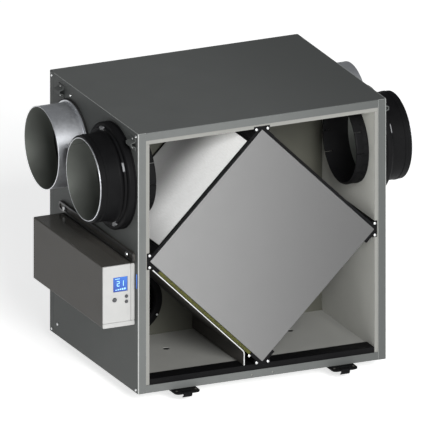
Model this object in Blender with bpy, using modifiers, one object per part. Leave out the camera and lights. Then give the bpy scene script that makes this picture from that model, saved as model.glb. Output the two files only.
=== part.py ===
"""Heat recovery unit: a crossflow core, two fans and four duct collars in a hanging cabinet.

Sizes are in metres. The cabinet's own frame has X to the right from its middle, Y to the back
from its front flange and Z up from its base. The empty cabinet_frame carries that frame to the
part's origin, which lies midway between the four hanging brackets.
"""
import math

import bmesh
import bpy
from mathutils import Matrix, Vector

# Cabinet
WIDTH = 0.482
DEPTH = 0.387
HEIGHT = 0.488
SHEET = 0.0012
GAP = 0.0003
FLANGE = 0.0155
SIDE_PANEL_DEPTH = 0.369
HALF = WIDTH / 2
INSIDE = HALF - SHEET - GAP

# Foam lining
LINER_INNER_X = 0.2185
LINER_TOP_Z = 0.466
LINER_FLOOR_TOP = 0.0137
LINER_BACK_Y = 0.3645
BACK_INSIDE = DEPTH - SHEET - GAP

# Crossflow core
CORE_Z = 0.2462
CORE_REACH = 0.2174
CORE_DEPTH = 0.227
CORE_PLATE = 0.0012
ROOT2 = math.sqrt(2)
CORE_SIDE = CORE_REACH * ROOT2

# Core rails
RAIL_HALF_WIDTH = 0.015
RAIL_OUT = 0.0059
RAIL_IN = 0.0026
ARM_THICK = 0.006
ARM_REACH = 0.015
RAIL_CLEAR = 0.0004
RAIL_FRONT = 0.0005
RAIL_BACK = 0.2287

# Filters, mat and drip screen
FILTER_START = 0.028
FILTER_THICK = 0.005
MAT_THICK = 0.0059
FACE_CLEAR = 0.0007
FILTER_DEPTH = 0.227
SCREEN_OFFSET = 0.0084
SCREEN_THICK = 0.0024
SCREEN_DEPTH = 0.2262

# Floor parts
PARTITION_Y = 0.229
PARTITION_THICK = 0.002
SILL_DEPTH = 0.034
SILL_TOP = 0.025
PAN_TOP = 0.0226
DRAIN_PLACES = ((-0.12, 0.15), (0.12, 0.15))
SPOUT_R = 0.006
SPOUT_BORE_R = 0.0045
SPOUT_DROP = 0.022

# Duct collars
PORT_Z = 0.381
FRONT_PORT_Y = 0.100
REAR_PORT_Y = 0.287
DUCT_R = 0.075
DUCT_HOLE_R = DUCT_R + GAP
SPIGOT_BORE_R = 0.072
SPIGOT_IN = 0.0465
COLLAR_OUT = 0.060
COLLAR_FLANGE_R = 0.097
COLLAR_FLANGE_THICK = 0.020
COLLAR_RING_R = 0.079
SLEEVE_WALL = 0.0012
SLEEVE_OUT = 0.062
NOTCHES = 12
NOTCH_WIDTH = 0.006
NOTCH_LENGTH = 0.014
REAR_WALL_HOLE_R = 0.072
REAR_LINER_HOLE_R = 0.064
REAR_LINER_HOLE_Y = 0.298
SEAL_R = 0.081
SEAL_THICK = 0.003
ROUND_STEPS = 40

# Fans
FAN_X = 0.152
FAN_Z = 0.088
FAN_R = 0.060
FAN_EYE_R = 0.050
FAN_FRONT = 0.2375
FAN_DEPTH = 0.046
BLADES = 12
BLADE_LENGTH = 0.020
BLADE_THICK = 0.0015
BLADE_LEAN = math.radians(38)
BLADE_MIDDLE_R = 0.049
WHEEL_PLATE = 0.003
SHROUD_THICK = 0.0025
SHAFT_R = 0.004
SHAFT_CLEAR = 0.0004
SHAFT_LENGTH = 0.026
MOTOR_R = 0.036
MOTOR_FLANGE_R = 0.050
MOTOR_FLANGE_THICK = 0.004
INLET_HOLE_R = 0.049
INLET_LIP = 0.010
INLET_WALL = 0.002
WHEEL_CLEAR = 0.0008
FAN_STEPS = 32

# Control box on the left panel
BOX_OUT = 0.0615
BOX_FRONT = 0.015
BOX_BACK = 0.318
BOX_BOTTOM = 0.127
BOX_TOP = 0.242
BOX_WALL = 0.0015
FASCIA = 0.003
DISPLAY_X = -HALF - 0.0277
DISPLAY_Z = 0.2061
DISPLAY_W = 0.0274
DISPLAY_H = 0.0268
BUTTON_RISE = 0.0015
BUTTONS = {
    "mode_button": (-HALF - 0.039, 0.178, 0.004),
    "up_button": (-HALF - 0.016, 0.1823, 0.003),
    "down_button": (-HALF - 0.016, 0.1726, 0.003),
}
BOARD_Y = 0.0245
BOARD_THICK = 0.0016
BOARD_Z = (0.150, 0.236)
RELAY_SIZE = (0.012, 0.016, 0.018)
RELAY_STARTS = (0.008, 0.024, 0.040)
TERMINALS = 6
TERMINAL_STEP = 0.010
GLAND_PLACE = (-HALF - 0.030, 0.160)
GLAND_HOLE_R = 0.0083
GLAND_R = 0.0125
GLAND_BORE_R = 0.0055
STRIP_THICK = 0.005

# Hanging brackets and door supports
BRACKET_WIDTH = 0.022
BRACKET_Z = (0.454, 0.477)
BRACKET_Y = (0.021, 0.335)
BRACKET_OUT = 0.009
BRACKET_THICK = 0.0015
HANG_Y = sum(BRACKET_Y) / 2
HANG_Z = sum(BRACKET_Z) / 2
SUPPORT_X = 0.153
SUPPORT_WIDTH = 0.049
SUPPORT_THICK = 0.003
SUPPORT_Y = (-0.023, 0.025)
SUPPORT_CORNER = 0.009
TONGUE_WIDTH = 0.017
TONGUE_THICK = 0.002
TONGUE_Y = -0.014
TONGUE_CURL_R = 0.0035

FINISHES = {
    "painted_steel": ((0.115, 0.118, 0.115), 0.42, 0.35),
    "liner_foam": ((0.42, 0.42, 0.40), 0.70, 0.0),
    "partition_sheet": ((0.05, 0.05, 0.042), 0.55, 0.2),
    "black_plastic": ((0.015, 0.015, 0.016), 0.45, 0.0),
    "core_sheet": ((0.36, 0.36, 0.36), 0.38, 0.8),
    "core_plates": ((0.62, 0.63, 0.64), 0.40, 0.6),
    "filter_media": ((0.65, 0.65, 0.62), 0.90, 0.0),
    "mat_foam": ((0.28, 0.29, 0.10), 0.90, 0.0),
    "galvanised_steel": ((0.24, 0.25, 0.28), 0.35, 0.9),
    "dark_steel": ((0.07, 0.068, 0.062), 0.45, 0.3),
    "light_fascia": ((0.62, 0.62, 0.61), 0.50, 0.0),
    "blue_display": ((0.02, 0.09, 0.40), 0.15, 0.0),
    "green_board": ((0.02, 0.12, 0.05), 0.50, 0.0),
    "rubber_seal": ((0.02, 0.02, 0.02), 0.80, 0.0),
    "cast_motor": ((0.30, 0.30, 0.31), 0.45, 0.7),
}

PLANE_TURNS = {
    "XY": (0, 0, 0),
    "XZ": (math.pi / 2, 0, 0),
    "YZ": (math.pi / 2, 0, math.pi / 2),
}
PLANE_NORMALS = {"XY": Vector((0, 0, 1)), "XZ": Vector((0, 1, 0)), "YZ": Vector((1, 0, 0))}
OUTWARD_TURN = {-1: (0, -math.pi / 2, 0), 1: (0, math.pi / 2, 0)}
BACKWARD_TURN = (-math.pi / 2, 0, 0)


def clear_scene():
    for obj in list(bpy.data.objects):
        bpy.data.objects.remove(obj, do_unlink=True)


def new_collection(name):
    group = bpy.data.collections.new(name)
    bpy.context.scene.collection.children.link(group)
    return group


def finish_material(name, finish):
    colour, roughness, metallic = FINISHES[finish]
    material = bpy.data.materials.new(name)
    material.use_nodes = True
    shader = material.node_tree.nodes["Principled BSDF"]
    shader.inputs["Base Color"].default_value = (*colour, 1)
    shader.inputs["Roughness"].default_value = roughness
    shader.inputs["Metallic"].default_value = metallic
    material.diffuse_color = (*colour, 1)
    return material


def place(name, mesh, finish=None, location=(0, 0, 0), rotation=(0, 0, 0)):
    """Put a mesh in the cabinet's frame, as a part with a finish or else as a hidden cutter."""
    obj = bpy.data.objects.new(name, mesh)
    obj.parent = cabinet_frame
    obj.location = location
    obj.rotation_euler = rotation
    if finish:
        parts.objects.link(obj)
        mesh.materials.append(finish_material(name, finish))
        mesh.shade_smooth()
        mesh.set_sharp_from_angle(angle=math.radians(30))
    else:
        cutters.objects.link(obj)
        obj.hide_render = True
        obj.display_type = "WIRE"
    return obj


def boolean(obj, tool, operation="DIFFERENCE"):
    modifier = obj.modifiers.new(tool.name, "BOOLEAN")
    modifier.operation = operation
    modifier.solver = "EXACT"
    modifier.object = tool
    return obj


def bmesh_to_mesh(name, bm):
    mesh = bpy.data.meshes.new(name)
    bm.to_mesh(mesh)
    bm.free()
    return mesh


def boxes(name, spans, finish=None, origin=(0, 0, 0)):
    """Boxes given by their lowest and highest corners: one for a part, any number in a cutter."""
    bm = bmesh.new()
    for low, high in spans:
        size = Vector(high) - Vector(low)
        middle = (Vector(high) + Vector(low)) / 2 - Vector(origin)
        matrix = Matrix.Translation(middle) @ Matrix.Diagonal((*size, 1))
        bmesh.ops.create_cube(bm, size=1, matrix=matrix)
    return place(name, bmesh_to_mesh(name, bm), finish, origin)


def discs(name, places, axis, radius, low, high, steps=ROUND_STEPS):
    """A cutter of round bars along one axis; a place is the two coordinates across that axis."""
    turns = {
        "X": Matrix(((0, 0, 1, 0), (1, 0, 0, 0), (0, 1, 0, 0), (0, 0, 0, 1))),
        "Y": Matrix(((1, 0, 0, 0), (0, 0, -1, 0), (0, 1, 0, 0), (0, 0, 0, 1))),
        "Z": Matrix.Identity(4),
    }
    middle = (low + high) / 2
    bm = bmesh.new()
    for first, second in places:
        centre = {
            "X": (middle, first, second),
            "Y": (first, middle, second),
            "Z": (first, second, middle),
        }[axis]
        bmesh.ops.create_cone(
            bm,
            cap_ends=True,
            segments=steps,
            radius1=radius,
            radius2=radius,
            depth=high - low,
            matrix=Matrix.Translation(centre) @ turns[axis],
        )
    return place(name, bmesh_to_mesh(name, bm))


def plate(name, loops, plane, low, high, finish=None, origin=(0, 0, 0)):
    """A flat outline with holes, given a thickness from low to high across its plane."""
    curve = bpy.data.curves.new(name, "CURVE")
    curve.dimensions = "2D"
    curve.fill_mode = "BOTH"
    curve.extrude = (high - low) / 2
    for points in loops:
        spline = curve.splines.new("POLY")
        spline.points.add(len(points) - 1)
        spline.use_cyclic_u = True
        for point, (first, second) in zip(spline.points, points):
            point.co = (first, second, 0, 1)
    guide = bpy.data.objects.new(name, curve)
    cutters.objects.link(guide)
    depsgraph = bpy.context.evaluated_depsgraph_get()
    mesh = bpy.data.meshes.new_from_object(guide.evaluated_get(depsgraph), depsgraph=depsgraph)
    bpy.data.objects.remove(guide, do_unlink=True)
    mesh.name = name
    bm = bmesh.new()
    bm.from_mesh(mesh)
    bmesh.ops.remove_doubles(bm, verts=bm.verts, dist=0.00001)
    bm.to_mesh(mesh)
    bm.free()
    location = Vector(origin) + PLANE_NORMALS[plane] * (low + high) / 2
    return place(name, mesh, finish, location, PLANE_TURNS[plane])


def turned(name, profile, finish, location, rotation, steps=ROUND_STEPS, closed=True):
    """A profile of (radius, height) points, down its outer side first, turned about its Z."""
    bm = bmesh.new()
    points = [bm.verts.new((radius, 0, height)) for radius, height in profile]
    ends = points[1:] + points[:1] if closed else points[1:]
    for start, end in zip(points, ends):
        bm.edges.new((start, end))
    obj = place(name, bmesh_to_mesh(name, bm), finish, location, rotation)
    screw = obj.modifiers.new("turn", "SCREW")
    screw.steps = steps
    screw.render_steps = steps
    screw.use_merge_vertices = True
    screw.merge_threshold = 0.00001
    return obj


def circle(first, second, radius, steps=ROUND_STEPS):
    turns = [2 * math.pi * step / steps for step in range(steps)]
    return [(first + radius * math.cos(a), second + radius * math.sin(a)) for a in turns]


def rectangle(low, high):
    return [low, (high[0], low[1]), high, (low[0], high[1])]


def rounded_rectangle(low, high, radius, steps=4):
    corners = (
        (high[0] - radius, high[1] - radius),
        (low[0] + radius, high[1] - radius),
        (low[0] + radius, low[1] + radius),
        (high[0] - radius, low[1] + radius),
    )
    points = []
    for quarter, (first, second) in enumerate(corners):
        for step in range(steps + 1):
            angle = math.pi / 2 * (quarter + step / steps)
            points.append((first + radius * math.cos(angle), second + radius * math.sin(angle)))
    return points


def strip_outline(path, thickness):
    """The closed outline of a bent strip of even thickness along a path, with mitred bends."""
    points = [Vector(point) for point in path]
    runs = [(end - start).normalized() for start, end in zip(points, points[1:])]
    left, right = [], []
    for index, point in enumerate(points):
        before = runs[max(index - 1, 0)]
        after = runs[min(index, len(runs) - 1)]
        across = (before + after).normalized()
        normal = Vector((-across.y, across.x))
        reach = thickness / 2 / max(normal.dot(Vector((-after.y, after.x))), 0.3)
        left.append(tuple(point + normal * reach))
        right.append(tuple(point - normal * reach))
    return left + right[::-1]


def diamond(reach):
    return [(reach, 0), (0, reach), (-reach, 0), (0, -reach)]


def along_face(side_x, side_z, start, end, near, far):
    """The outline of a strip beside one face of the core, in X and Z from the core's middle.

    The face lies between the side apex and the top or bottom apex. Start and end are distances
    along it from the side apex, and near and far are distances off it.
    """
    along = Vector((-side_x, side_z)) / ROOT2
    off = Vector((side_x, side_z)) / ROOT2
    apex = Vector((side_x * CORE_REACH, 0))
    corners = ((start, near), (end, near), (end, far), (start, far))
    return [tuple(apex + along * reach + off * out) for reach, out in corners]


def build_panels():
    """The painted sheet: two sides with front flanges, top, base and the wrapped back."""
    for side, name in ((-1, "left_side_panel"), (1, "right_side_panel")):
        outline = [
            (side * HALF, 0),
            (side * (HALF - FLANGE), 0),
            (side * (HALF - FLANGE), SHEET),
            (side * (HALF - SHEET), SHEET),
            (side * (HALF - SHEET), SIDE_PANEL_DEPTH),
            (side * HALF, SIDE_PANEL_DEPTH),
        ]
        panel = plate(name, [outline], "XY", 0, HEIGHT, "painted_steel")
        reach = (side * HALF - 0.01, side * HALF + 0.01)
        front_place = [(FRONT_PORT_Y, PORT_Z)]
        rear_place = [(REAR_PORT_Y, PORT_Z)]
        front_hole = discs(name + "_front_hole", front_place, "X", DUCT_HOLE_R, *reach)
        rear_hole = discs(name + "_rear_hole", rear_place, "X", REAR_WALL_HOLE_R, *reach)
        inner = side * INSIDE
        notch_x = sorted((side * (HALF - 0.03), inner + side * GAP))
        lip = SHEET + 2 * GAP
        notches = boxes(
            name + "_lip_notches",
            [
                ((notch_x[0], -0.01, -0.01), (notch_x[1], SHEET + GAP, lip)),
                ((notch_x[0], -0.01, HEIGHT - lip), (notch_x[1], SHEET + GAP, HEIGHT + 0.01)),
            ],
        )
        for tool in (front_hole, rear_hole, notches):
            boolean(panel, tool)

    lips = {"top_panel": (HEIGHT, -1), "base_panel": (0, 1)}
    for name, (face, inward) in lips.items():
        lip_end = face + inward * (FLANGE - 0.001)
        outline = [
            (0, face),
            (BACK_INSIDE, face),
            (BACK_INSIDE, face + inward * SHEET),
            (SHEET, face + inward * SHEET),
            (SHEET, lip_end),
            (0, lip_end),
        ]
        panel = plate(name, [outline], "YZ", -INSIDE, INSIDE, "painted_steel")
        clear_x = HALF - FLANGE - GAP
        span_z = sorted((face + inward * (SHEET + GAP), face + inward * 0.03))
        ends = [
            ((side_low, -0.01, span_z[0]), (side_high, SHEET + GAP, span_z[1]))
            for side_low, side_high in ((-HALF, -clear_x), (clear_x, HALF))
        ]
        boolean(panel, boxes(name + "_lip_ends", ends))
        if name == "base_panel":
            holes = discs("base_drain_holes", DRAIN_PLACES, "Z", SPOUT_R + GAP, -0.01, 0.01, steps=20)
            pilots = discs(
                "base_lip_holes", [(-0.020, 0.006), (0.0204, 0.006)], "Y", 0.002, -0.01, 0.0014, steps=10
            )
            boolean(panel, holes)
            boolean(panel, pilots)

    seam = SIDE_PANEL_DEPTH + GAP
    outline = [
        (-HALF, seam),
        (-HALF, DEPTH),
        (HALF, DEPTH),
        (HALF, seam),
        (HALF - SHEET, seam),
        (HALF - SHEET, DEPTH - SHEET),
        (SHEET - HALF, DEPTH - SHEET),
        (SHEET - HALF, seam),
    ]
    plate("back_panel", [outline], "XY", 0, HEIGHT, "painted_steel")


def build_liners():
    """Rigid foam slabs with a light skin on all five inner sides."""
    front = SHEET + GAP
    groove = RAIL_HALF_WIDTH + GAP
    outer = CORE_REACH + RAIL_OUT + GAP
    side_bottom = LINER_FLOOR_TOP + GAP
    side_top = LINER_TOP_Z - GAP
    for side, name in ((-1, "liner_left"), (1, "liner_right")):
        x_span = sorted((side * LINER_INNER_X, side * INSIDE))
        low = (x_span[0], front, side_bottom)
        high = (x_span[1], BACK_INSIDE, side_top)
        liner = boxes(name, [(low, high)], "liner_foam")
        reach = (side * HALF - 0.05, side * HALF + 0.05)
        front_place = [(FRONT_PORT_Y, PORT_Z)]
        rear_place = [(REAR_LINER_HOLE_Y, PORT_Z)]
        boolean(liner, discs(name + "_front_hole", front_place, "X", DUCT_HOLE_R, *reach))
        boolean(liner, discs(name + "_rear_hole", rear_place, "X", REAR_LINER_HOLE_R, *reach))
        cut_x = sorted((side * (LINER_INNER_X - 0.01), side * outer))
        cut_low = (cut_x[0], -0.01, CORE_Z - groove)
        cut_high = (cut_x[1], PARTITION_Y, CORE_Z + groove)
        boolean(liner, boxes(name + "_groove", [(cut_low, cut_high)]))

    top_low = (-INSIDE, front, LINER_TOP_Z)
    top_high = (INSIDE, BACK_INSIDE, HEIGHT - SHEET - GAP)
    top = boxes("liner_top", [(top_low, top_high)], "liner_foam")
    cut_low = (-groove, -0.01, LINER_TOP_Z - 0.01)
    cut_high = (groove, PARTITION_Y, CORE_Z + outer)
    boolean(top, boxes("liner_top_groove", [(cut_low, cut_high)]))

    floor_low = (-INSIDE, front, SHEET + GAP)
    floor_high = (INSIDE, BACK_INSIDE, LINER_FLOOR_TOP)
    floor = boxes("liner_floor", [(floor_low, floor_high)], "liner_foam")
    boolean(
        floor,
        discs("liner_drain_holes", DRAIN_PLACES, "Z", SPOUT_R + GAP, -0.01, 0.03, steps=20),
    )
    back_x = LINER_INNER_X - GAP
    back_low = (-back_x, LINER_BACK_Y, side_bottom)
    boxes("liner_back", [(back_low, (back_x, BACK_INSIDE, side_top))], "liner_foam")


def build_floor_and_partition():
    """The sill, the drip pan and its spouts, and the sheets that part the air ways."""
    front = SHEET + GAP
    base = LINER_FLOOR_TOP + GAP
    wide = LINER_INNER_X - GAP
    groove = RAIL_HALF_WIDTH + GAP
    sill_box = ((-wide, front, base), (wide, SILL_DEPTH, SILL_TOP))
    sill = boxes("front_sill", [sill_box], "black_plastic")
    notch = ((-groove, -0.01, PAN_TOP), (groove, SILL_DEPTH + 0.01, SILL_TOP + 0.01))
    boolean(sill, boxes("sill_notch", [notch]))

    pan_box = ((-wide, SILL_DEPTH + GAP, base), (wide, PARTITION_Y - GAP, PAN_TOP))
    pan = boxes("drain_pan", [pan_box], "liner_foam")
    boolean(pan, discs("pan_drain_holes", DRAIN_PLACES, "Z", SPOUT_R + GAP, 0, 0.04, steps=20))
    fitting = [
        (SPOUT_R, PAN_TOP - 0.001),
        (SPOUT_R, -GAP),
        (0.011, -GAP),
        (0.011, -0.0045),
        (SPOUT_R, -0.0045),
        (SPOUT_R, -SPOUT_DROP),
        (SPOUT_BORE_R, -SPOUT_DROP),
        (SPOUT_BORE_R, PAN_TOP - 0.001),
    ]
    for side, (x, y) in zip(("left", "right"), DRAIN_PLACES):
        turned("drain_spout_" + side, fitting, "black_plastic", (x, y, 0), (0, 0, 0), steps=20)

    holes = [circle(side * FAN_X, FAN_Z, INLET_HOLE_R) for side in (-1, 1)]
    outline = rectangle((-wide, base), (wide, LINER_TOP_Z - GAP))
    back_face = PARTITION_Y + PARTITION_THICK
    plate("partition", [outline, *holes], "XZ", PARTITION_Y, back_face, "partition_sheet")
    divider = ((-0.0015, back_face + GAP, base), (0.0015, LINER_BACK_Y - GAP, LINER_TOP_Z - GAP))
    boxes("rear_divider", [divider], "partition_sheet")


def build_core_rails():
    """Four black rails that hold the core's edges, each with a notch and two short arms."""
    clear = RAIL_CLEAR * ROOT2
    arm = ARM_THICK * ROOT2
    tip = ARM_THICK / ROOT2
    half = [
        (RAIL_OUT, RAIL_HALF_WIDTH),
        (-RAIL_IN, RAIL_HALF_WIDTH),
        (-RAIL_IN, RAIL_IN + clear + arm),
        (-ARM_REACH, ARM_REACH + clear + arm),
        (-ARM_REACH - tip, ARM_REACH + clear + arm - tip),
        (clear, 0),
    ]
    outline = half + [(out, -across) for out, across in half[-2::-1]]
    turns = {"right": 0, "top": 1, "left": 2, "bottom": 3}
    for name, quarter in turns.items():
        turn = Matrix.Rotation(quarter * math.pi / 2, 2)
        points = []
        for out, across in outline:
            point = turn @ Vector((CORE_REACH + out, across))
            points.append((point.x, point.y + CORE_Z))
        plate("core_rail_" + name, [points], "XZ", RAIL_FRONT, RAIL_BACK, "black_plastic")


def build_core():
    """The crossflow block between its two end plates; it slides out to the front."""
    origin = (0, 0, CORE_Z)
    front = CORE_PLATE + GAP
    back = CORE_DEPTH - CORE_PLATE - GAP
    edge = [diamond(CORE_REACH)]
    plate("core_front_plate", edge, "XZ", 0, CORE_PLATE, "core_sheet", origin)
    plate("core_back_plate", edge, "XZ", back + GAP, CORE_DEPTH, "core_sheet", origin)
    plate("core_block", edge, "XZ", front, back, "core_plates", origin)


def build_filters():
    """Two filters on the core's upper faces, and the mat and screen under its lower left face."""
    origin = (0, 0, CORE_Z)
    end = CORE_SIDE - FILTER_START
    far = FACE_CLEAR + FILTER_THICK
    for side, name in ((-1, "filter_left"), (1, "filter_right")):
        outline = along_face(side, 1, FILTER_START, end, FACE_CLEAR, far)
        plate(name, [outline], "XZ", 0.001, FILTER_DEPTH, "filter_media", origin)
    outline = along_face(-1, -1, FILTER_START, end, FACE_CLEAR, FACE_CLEAR + MAT_THICK)
    plate("drip_mat", [outline], "XZ", 0.001, FILTER_DEPTH, "mat_foam", origin)
    apex = Vector((-CORE_REACH, CORE_Z))
    off = Vector((-1, -1)) / ROOT2 * SCREEN_OFFSET
    along = Vector((1, -1)) / ROOT2
    first = apex + off + along * 0.016
    last = apex + off + along * 0.267
    path = [tuple(first), tuple(last), (last.x, SILL_TOP + GAP)]
    outline = strip_outline(path, SCREEN_THICK)
    plate("drip_screen", [outline], "XZ", 0.0016, SCREEN_DEPTH, "dark_steel")


def build_collars():
    """Two black intake collars with duct sleeves, and two plain outlet collars at the rear."""
    front_profile = [
        (COLLAR_RING_R, COLLAR_OUT),
        (COLLAR_RING_R, COLLAR_FLANGE_THICK + 0.006),
        (COLLAR_RING_R + 0.003, COLLAR_FLANGE_THICK),
        (COLLAR_FLANGE_R - 0.004, COLLAR_FLANGE_THICK),
        (COLLAR_FLANGE_R, COLLAR_FLANGE_THICK - 0.004),
        (COLLAR_FLANGE_R, GAP),
        (DUCT_R, GAP),
        (DUCT_R, -SPIGOT_IN),
        (SPIGOT_BORE_R, -SPIGOT_IN),
        (SPIGOT_BORE_R, 0.002),
        (DUCT_R + GAP, 0.002),
        (DUCT_R + GAP, COLLAR_OUT),
    ]
    sleeve_profile = [
        (DUCT_R, SLEEVE_OUT),
        (DUCT_R, 0.002 + GAP),
        (DUCT_R - SLEEVE_WALL, 0.002 + GAP),
        (DUCT_R - SLEEVE_WALL, SLEEVE_OUT),
    ]
    seat = GAP + SEAL_THICK + GAP
    bead = 0.044
    rear_profile = [
        (DUCT_R, COLLAR_OUT),
        (DUCT_R, bead + 0.003),
        (DUCT_R + 0.0015, bead),
        (DUCT_R, bead - 0.003),
        (DUCT_R, seat + SLEEVE_WALL),
        (SEAL_R - 0.002, seat + SLEEVE_WALL),
        (SEAL_R - 0.002, seat),
        (DUCT_R - SLEEVE_WALL, seat),
        (DUCT_R - SLEEVE_WALL, COLLAR_OUT),
    ]
    seal_profile = [
        (SEAL_R, GAP + SEAL_THICK),
        (SEAL_R, GAP),
        (DUCT_R - SLEEVE_WALL, GAP),
        (DUCT_R - SLEEVE_WALL, GAP + SEAL_THICK),
    ]
    for side, name in ((-1, "left"), (1, "right")):
        front_at = (side * HALF, FRONT_PORT_Y, PORT_Z)
        rear_at = (side * HALF, REAR_PORT_Y, PORT_Z)
        turn = OUTWARD_TURN[side]
        collar = turned("collar_front_" + name, front_profile, "black_plastic", front_at, turn)
        boolean(collar, collar_notches(name, side, front_at))
        turned("sleeve_front_" + name, sleeve_profile, "galvanised_steel", front_at, turn)
        turned("collar_rear_" + name, rear_profile, "galvanised_steel", rear_at, turn)
        turned("rear_seal_" + name, seal_profile, "rubber_seal", rear_at, turn)


def collar_notches(name, side, centre):
    """Slots round the inner end of a collar, which leave a crown of spring fingers."""
    bm = bmesh.new()
    middle_r = (DUCT_R + SPIGOT_BORE_R) / 2
    inner_end = centre[0] - side * SPIGOT_IN
    for index in range(NOTCHES):
        angle = 2 * math.pi * (index + 0.5) / NOTCHES
        across = Vector((0, math.cos(angle), math.sin(angle))) * middle_r
        middle = Vector((inner_end, centre[1], centre[2])) + across
        turn = Matrix.Rotation(angle, 4, "X")
        size = Matrix.Diagonal((2 * NOTCH_LENGTH, 0.012, NOTCH_WIDTH, 1))
        bmesh.ops.create_cube(bm, size=1, matrix=Matrix.Translation(middle) @ turn @ size)
    return place("collar_notches_" + name, bmesh_to_mesh("collar_notches_" + name, bm))


def build_fans():
    """Behind the partition: two backward curved wheels on motors that stand on the back wall."""
    back = FAN_FRONT + FAN_DEPTH
    throat_end = FAN_FRONT - WHEEL_CLEAR
    throat_r = INLET_HOLE_R - 0.0045
    lip_back = PARTITION_Y - GAP
    lip_front = lip_back - INLET_WALL
    inlet_profile = [
        (throat_r + INLET_WALL, throat_end),
        (INLET_HOLE_R - 0.0015, lip_back),
        (INLET_HOLE_R + INLET_LIP, lip_back),
        (INLET_HOLE_R + INLET_LIP, lip_front),
        (INLET_HOLE_R - 0.0015, lip_front),
        (throat_r, PARTITION_Y + 0.004),
        (throat_r, throat_end),
    ]
    bore = SHAFT_R + SHAFT_CLEAR
    wheel_profile = [(FAN_R, WHEEL_PLATE), (FAN_R, 0), (bore, 0), (bore, WHEEL_PLATE)]
    ring_profile = [(FAN_R, SHROUD_THICK), (FAN_R, 0), (FAN_EYE_R, 0), (FAN_EYE_R, SHROUD_THICK)]
    motor_end = LINER_BACK_Y - GAP
    motor_front = back + 0.003
    motor_profile = [
        (0, motor_end),
        (MOTOR_FLANGE_R, motor_end),
        (MOTOR_FLANGE_R, motor_end - MOTOR_FLANGE_THICK),
        (MOTOR_R, motor_end - MOTOR_FLANGE_THICK),
        (MOTOR_R, motor_front + 0.003),
        (MOTOR_R - 0.005, motor_front),
        (SHAFT_R, motor_front),
        (SHAFT_R, back - SHAFT_LENGTH),
        (0, back - SHAFT_LENGTH),
    ]
    for side, name in ((-1, "exhaust"), (1, "supply")):
        centre = (side * FAN_X, 0, FAN_Z)
        wheel_at = (centre[0], back - WHEEL_PLATE, centre[2])
        ring_at = (centre[0], FAN_FRONT, centre[2])
        wheel = turned(
            name + "_fan_wheel", wheel_profile, "black_plastic", wheel_at, BACKWARD_TURN, FAN_STEPS
        )
        boolean(wheel, fan_blades(name, centre, back), "UNION")
        ring = turned(name + "_shroud", ring_profile, None, ring_at, BACKWARD_TURN, FAN_STEPS)
        boolean(wheel, ring, "UNION")
        turned(
            name + "_fan_motor", motor_profile, "cast_motor", centre, BACKWARD_TURN, FAN_STEPS,
            closed=False,
        )
        turned(name + "_inlet_ring", inlet_profile, "black_plastic", centre, BACKWARD_TURN)


def fan_blades(name, centre, back):
    """Flat blades, set back from the radius, between the shroud and the back plate."""
    bm = bmesh.new()
    low = FAN_FRONT + 0.001
    high = back - 0.001
    size = Matrix.Diagonal((BLADE_LENGTH, high - low, BLADE_THICK, 1))
    for index in range(BLADES):
        angle = 2 * math.pi * index / BLADES
        across = Vector((math.cos(angle), 0, math.sin(angle))) * BLADE_MIDDLE_R
        middle = Vector((centre[0], (low + high) / 2, centre[2])) + across
        turn = Matrix.Rotation(BLADE_LEAN - angle, 4, "Y")
        bmesh.ops.create_cube(bm, size=1, matrix=Matrix.Translation(middle) @ turn @ size)
    return place(name + "_blades", bmesh_to_mesh(name + "_blades", bm))


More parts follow.
